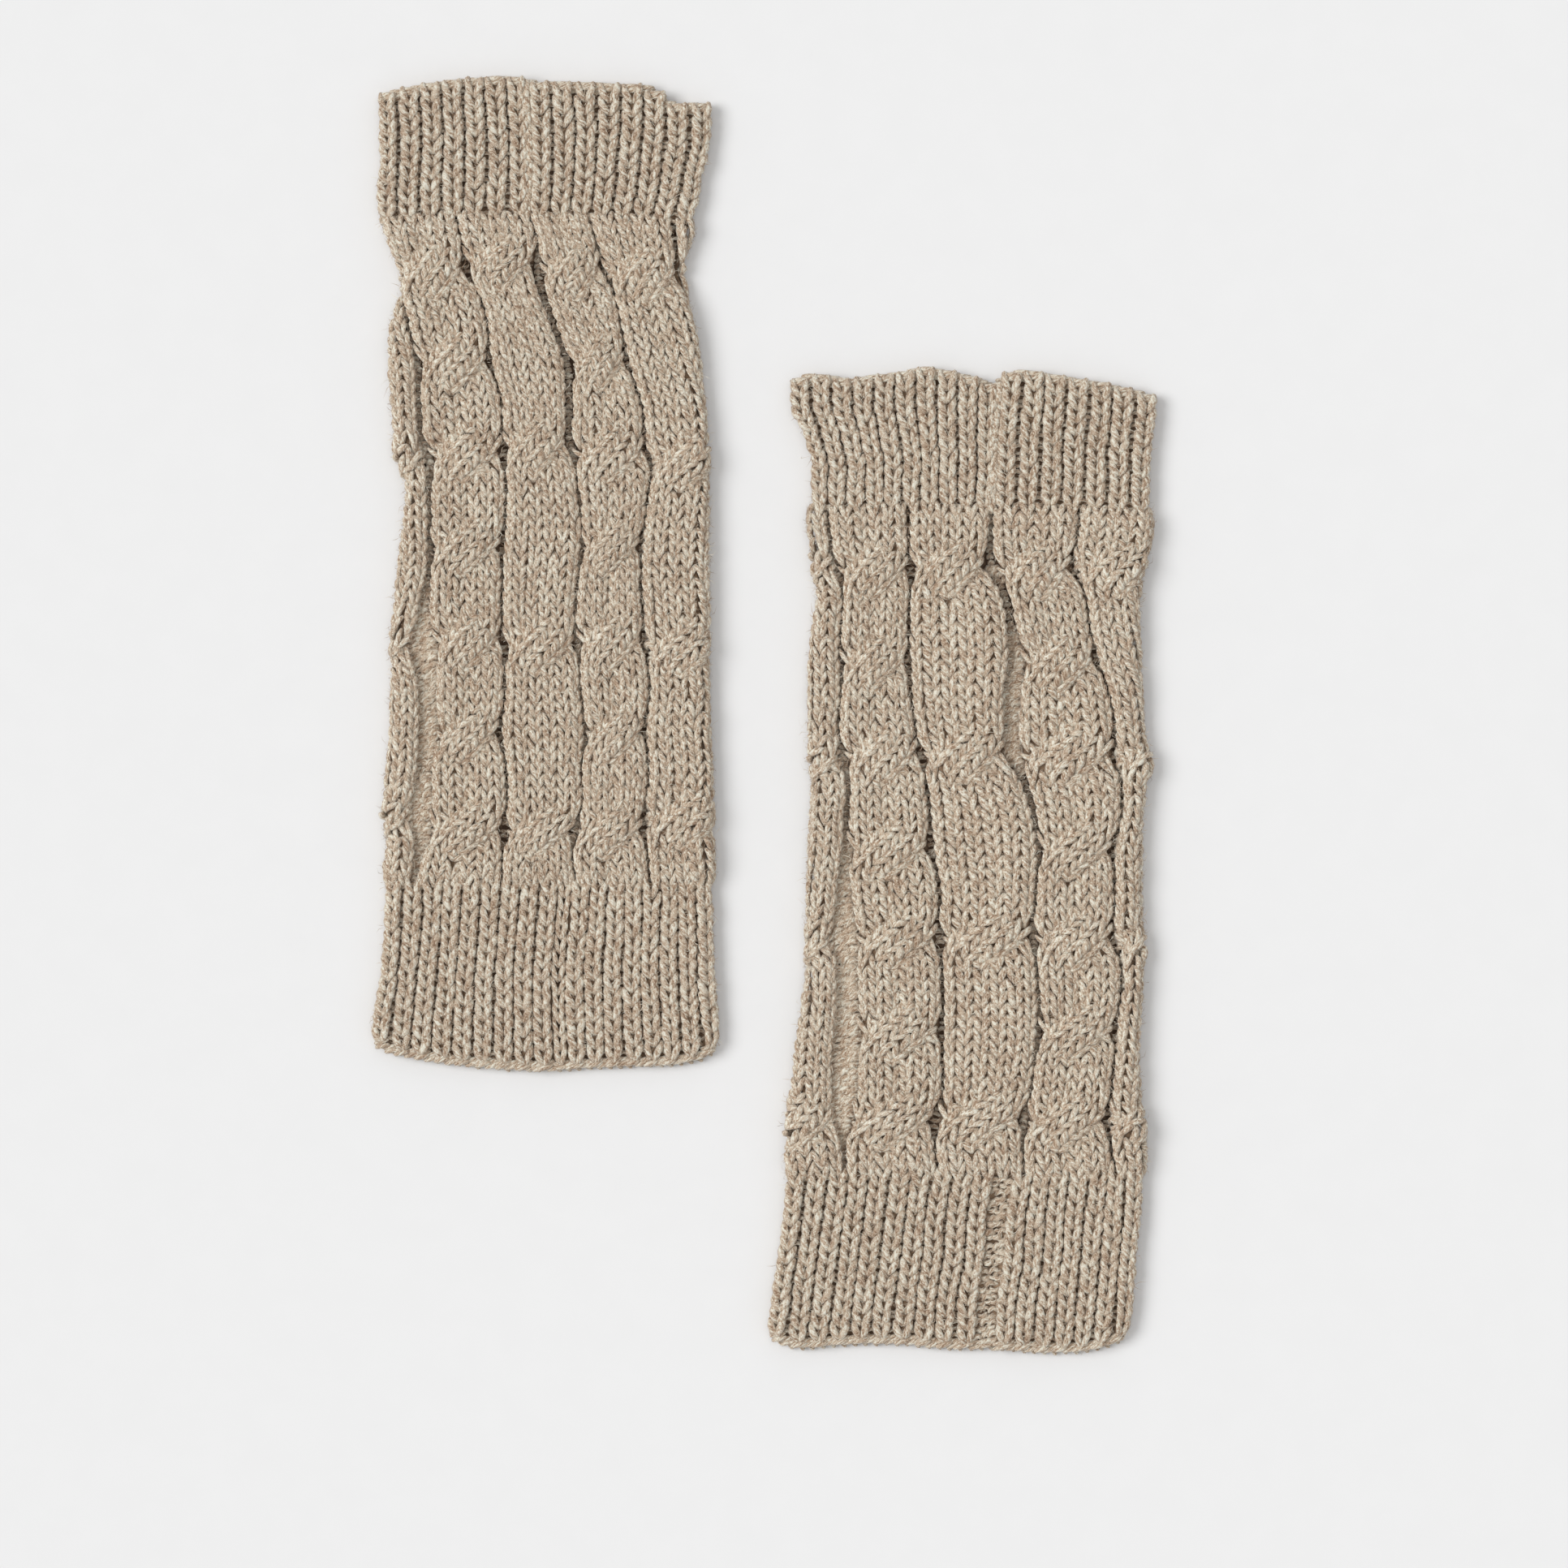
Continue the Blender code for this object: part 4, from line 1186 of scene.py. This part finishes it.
def add_fuzz(name, frames, number, material, seed):
    """Adds loose fibres: thin spindles that stand off the yarn and bend over."""
    random = np.random.default_rng(seed)
    pick = random.integers(0, len(frames.middle), number)
    start = frames.middle[pick]
    for direction, reach in zip((frames.across, frames.downward), FIBRE_REACH):
        start = start + direction[pick] * random.uniform(-reach, reach, (number, 1))
    turn = random.uniform(0.0, 2.0 * math.pi, (number, 1))
    out = frames.out[pick]
    level = frames.across[pick] * np.cos(turn) + frames.downward[pick] * np.sin(turn)
    length = random.gamma(*FIBRE_LENGTH, (number, 1))
    start = start + out * FIBRE_START
    middle = start + (level * 0.8 + out * random.uniform(0.25, 0.7, (number, 1))) * length * 0.5
    curl = unit(level + random.normal(0.0, 0.5, (number, 3)) + out * random.uniform(-0.5, 0.2, (number, 1)))
    end = middle + curl * length * 0.5
    wide = unit(np.cross(level, out + random.normal(0.0, 0.4, (number, 3)))) * FIBRE_HALF_WIDTH
    points = np.stack((start, middle + wide, middle - wide, end), 1)
    points[..., 2] = np.maximum(points[..., 2], FLOOR_GAP)
    first = np.arange(number)[:, None] * 4
    faces = np.concatenate([first + np.array(corners)[None] for corners in ((0, 1, 2), (2, 1, 3))])
    piece = mesh_piece(name, points.reshape(-1, 3) * MM, faces, material)
    add_values(piece, "tint", np.repeat(random.uniform(0.0, 1.0, number), 4))
    return piece


def dress(piece, slot, *nodes):
    """Fixes a piece to the one body and hides the solids that it stands for. Its slot, for a finish, is not
    used.
    """
    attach(piece, "root")
    if nodes:
        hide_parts(*nodes)


def build_cuff(leg, end_name, materials, seed):
    """Builds one ribbed cuff: its cloth, its knit and purl stitches, its seam and its edge."""
    if end_name == "upper":
        start, end, row_count = 0.0, UPPER_CUFF_END, UPPER_CUFF_ROWS
        cuff = Cuff(leg, leg.upper_cuff, leg.upper_ribs, UPPER_SEAM, end)
        edges = EDGE_INSETS
        first, last = edges[0], end
        first_row, last_row = start + EDGE_ROOM, end
    else:
        start, end, row_count = LOWER_CUFF_START, leg.length, LOWER_CUFF_ROWS
        cuff = Cuff(leg, leg.lower_cuff, leg.lower_ribs, leg.lower_seam, start)
        edges = [leg.length - inset for inset in EDGE_INSETS]
        first, last = start, edges[0]
        first_row, last_row = start, end - EDGE_ROOM
    name = f"{leg.name}_{end_name}_cuff"
    cloth = add_cloth(
        name + "_cloth", cuff, np.linspace(first, last, 2 * row_count), np.arange(0.0, cuff.wales, 0.5),
        materials["cloth"], CUFF_CLOTH_SINK,
    )
    dress(cloth, "rib_knit", name)
    knit, purl, seam = cuff_frames(cuff, first_row, last_row, row_count)
    seen = keep(knit, is_seen(knit))
    strands = Strands(seed)
    add_knit(strands, seen, RIB_LEG)
    add_purl(strands, keep(purl, is_seen(purl)), YARN_RADIUS * 0.8)
    if cuff.seam.shape == "column":
        strands.add(seam, SEAM_COLUMN, 6, radius=YARN_RADIUS * 1.5, jitter=0.8)
    elif cuff.seam.shape == "knit":
        add_knit(strands, seam, RIB_LEG)
    else:
        add_purl(strands, seam._replace(wale=seam.wale * 1.5), YARN_RADIUS * 1.05, 2.6, LOOSE_BAR_TILT)
    for edge in edges:
        strands.add(edge_frames(cuff, edge), EDGE_LINK, 6, radius=YARN_RADIUS * 0.9, jitter=0.8)
    dress(strands.build(name + "_stitches", materials["rib"]), "rib_knit")
    hidden = hidden_strands(knit, purl, seed + 1)
    dress(hidden.build(name + "_under_stitches", materials["rib"]), "rib_knit")
    return seen


def build_body(leg, materials, seed):
    """Builds the cabled body: its cloth and its knit and purl stitches."""
    body = Body(leg)
    name = f"{leg.name}_cable_body"
    wales = np.array([PANEL_PITCH * panel + step for panel in range(PANELS) for step in CLOTH_STEPS])
    downs = np.linspace(UPPER_CUFF_END - 1.0, LOWER_CUFF_START + 1.0, BODY_CLOTH_ROWS)
    cloth = add_cloth(name + "_cloth", body, downs, wales, materials["cloth"], BODY_CLOTH_SINK)
    dress(cloth, "cable_knit", name)
    knit = knit_frames(body)
    purl, loose = purl_frames(body)
    seen = keep(knit, is_seen(knit))
    strands = Strands(seed)
    add_knit(strands, seen)
    dress(strands.build(name + "_knit_stitches", materials["body"]), "cable_knit")
    bars = Strands(seed + 1)
    add_purl(bars, keep(purl, is_seen(purl)), YARN_RADIUS * 0.95)
    add_purl(bars, loose, YARN_RADIUS * 1.15, 2.2, LOOSE_BAR_TILT)
    dress(bars.build(name + "_purl_stitches", materials["body"]), "cable_knit")
    hidden = hidden_strands(knit, purl, seed + 2)
    dress(hidden.build(name + "_under_stitches", materials["body"]), "cable_knit")
    return seen


def build_leg(leg, materials, seed):
    """Builds one leg warmer. Each of its stretches, and its loose fibres, has a seed of its own."""
    upper = build_cuff(leg, "upper", materials, seed)
    body = build_body(leg, materials, seed + 10)
    lower = build_cuff(leg, "lower", materials, seed + 20)
    fuzz = add_fuzz(
        f"{leg.name}_loose_fibres", join([upper, body, lower]), LOOSE_FIBRES, materials["fuzz"], seed + 30
    )
    dress(fuzz, "cable_knit")


def add_floor():
    """Adds the floor that the pair lies on."""
    half = FLOOR_HALF
    corners = np.array([(-half, -half, 0.0), (half, -half, 0.0), (half, half, 0.0), (-half, half, 0.0)])
    floor = mesh_piece("floor", corners, np.array([[0, 1, 2, 3]]), floor_material())
    floor.location.z = -FLOOR_DROP


def add_camera():
    """Adds a long lens that looks straight down at the photograph's frame."""
    data = bpy.data.cameras.new("camera")
    data.sensor_width = SENSOR_WIDTH
    data.lens = SENSOR_WIDTH * CAMERA_HEIGHT / (FRAME_WIDTH * MM)
    data.clip_end = 50.0
    camera = bpy.data.objects.new("camera", data)
    camera.location = (FRAME_MIDDLE[0] * MM, FRAME_MIDDLE[1] * MM, CAMERA_HEIGHT + CLOTH_TOP)
    bpy.context.scene.collection.objects.link(camera)
    bpy.context.scene.camera = camera


def add_lights():
    """Adds soft light from the left, a fainter one from above, and an even pale surround."""
    for sun in SUNS:
        data = bpy.data.lights.new(sun.name, "SUN")
        data.energy = sun.strength
        data.angle = math.radians(sun.spread)
        lamp = bpy.data.objects.new(sun.name, data)
        lamp.rotation_euler = [math.radians(angle) for angle in sun.turn]
        bpy.context.scene.collection.objects.link(lamp)
    world = bpy.data.worlds.new("surround")
    world.use_nodes = True
    background = world.node_tree.nodes["Background"]
    background.inputs["Color"].default_value = (1.0, 1.0, 1.0, 1.0)
    background.inputs["Strength"].default_value = SURROUND
    bpy.context.scene.world = world
    bpy.context.scene.view_settings.view_transform = "Standard"


def main():
    """Builds the pair, the floor, the light and the camera."""
    materials = {
        # The ribs' yarn is the same yarn, painted 4% darker as shade
        "rib": yarn_material("melange_rib_yarn_painted_shade", 0.96),
        "body": yarn_material("melange_cable_yarn", 1.0),
        "cloth": shaded_cloth_material("cloth_between_stitches"),
        "fuzz": fuzz_material("loose_fibre"),
    }
    build_leg(LEFT_LEG, materials, 100)
    build_leg(RIGHT_LEG, materials, 200)
    add_floor()
    add_lights()
    add_camera()


main()
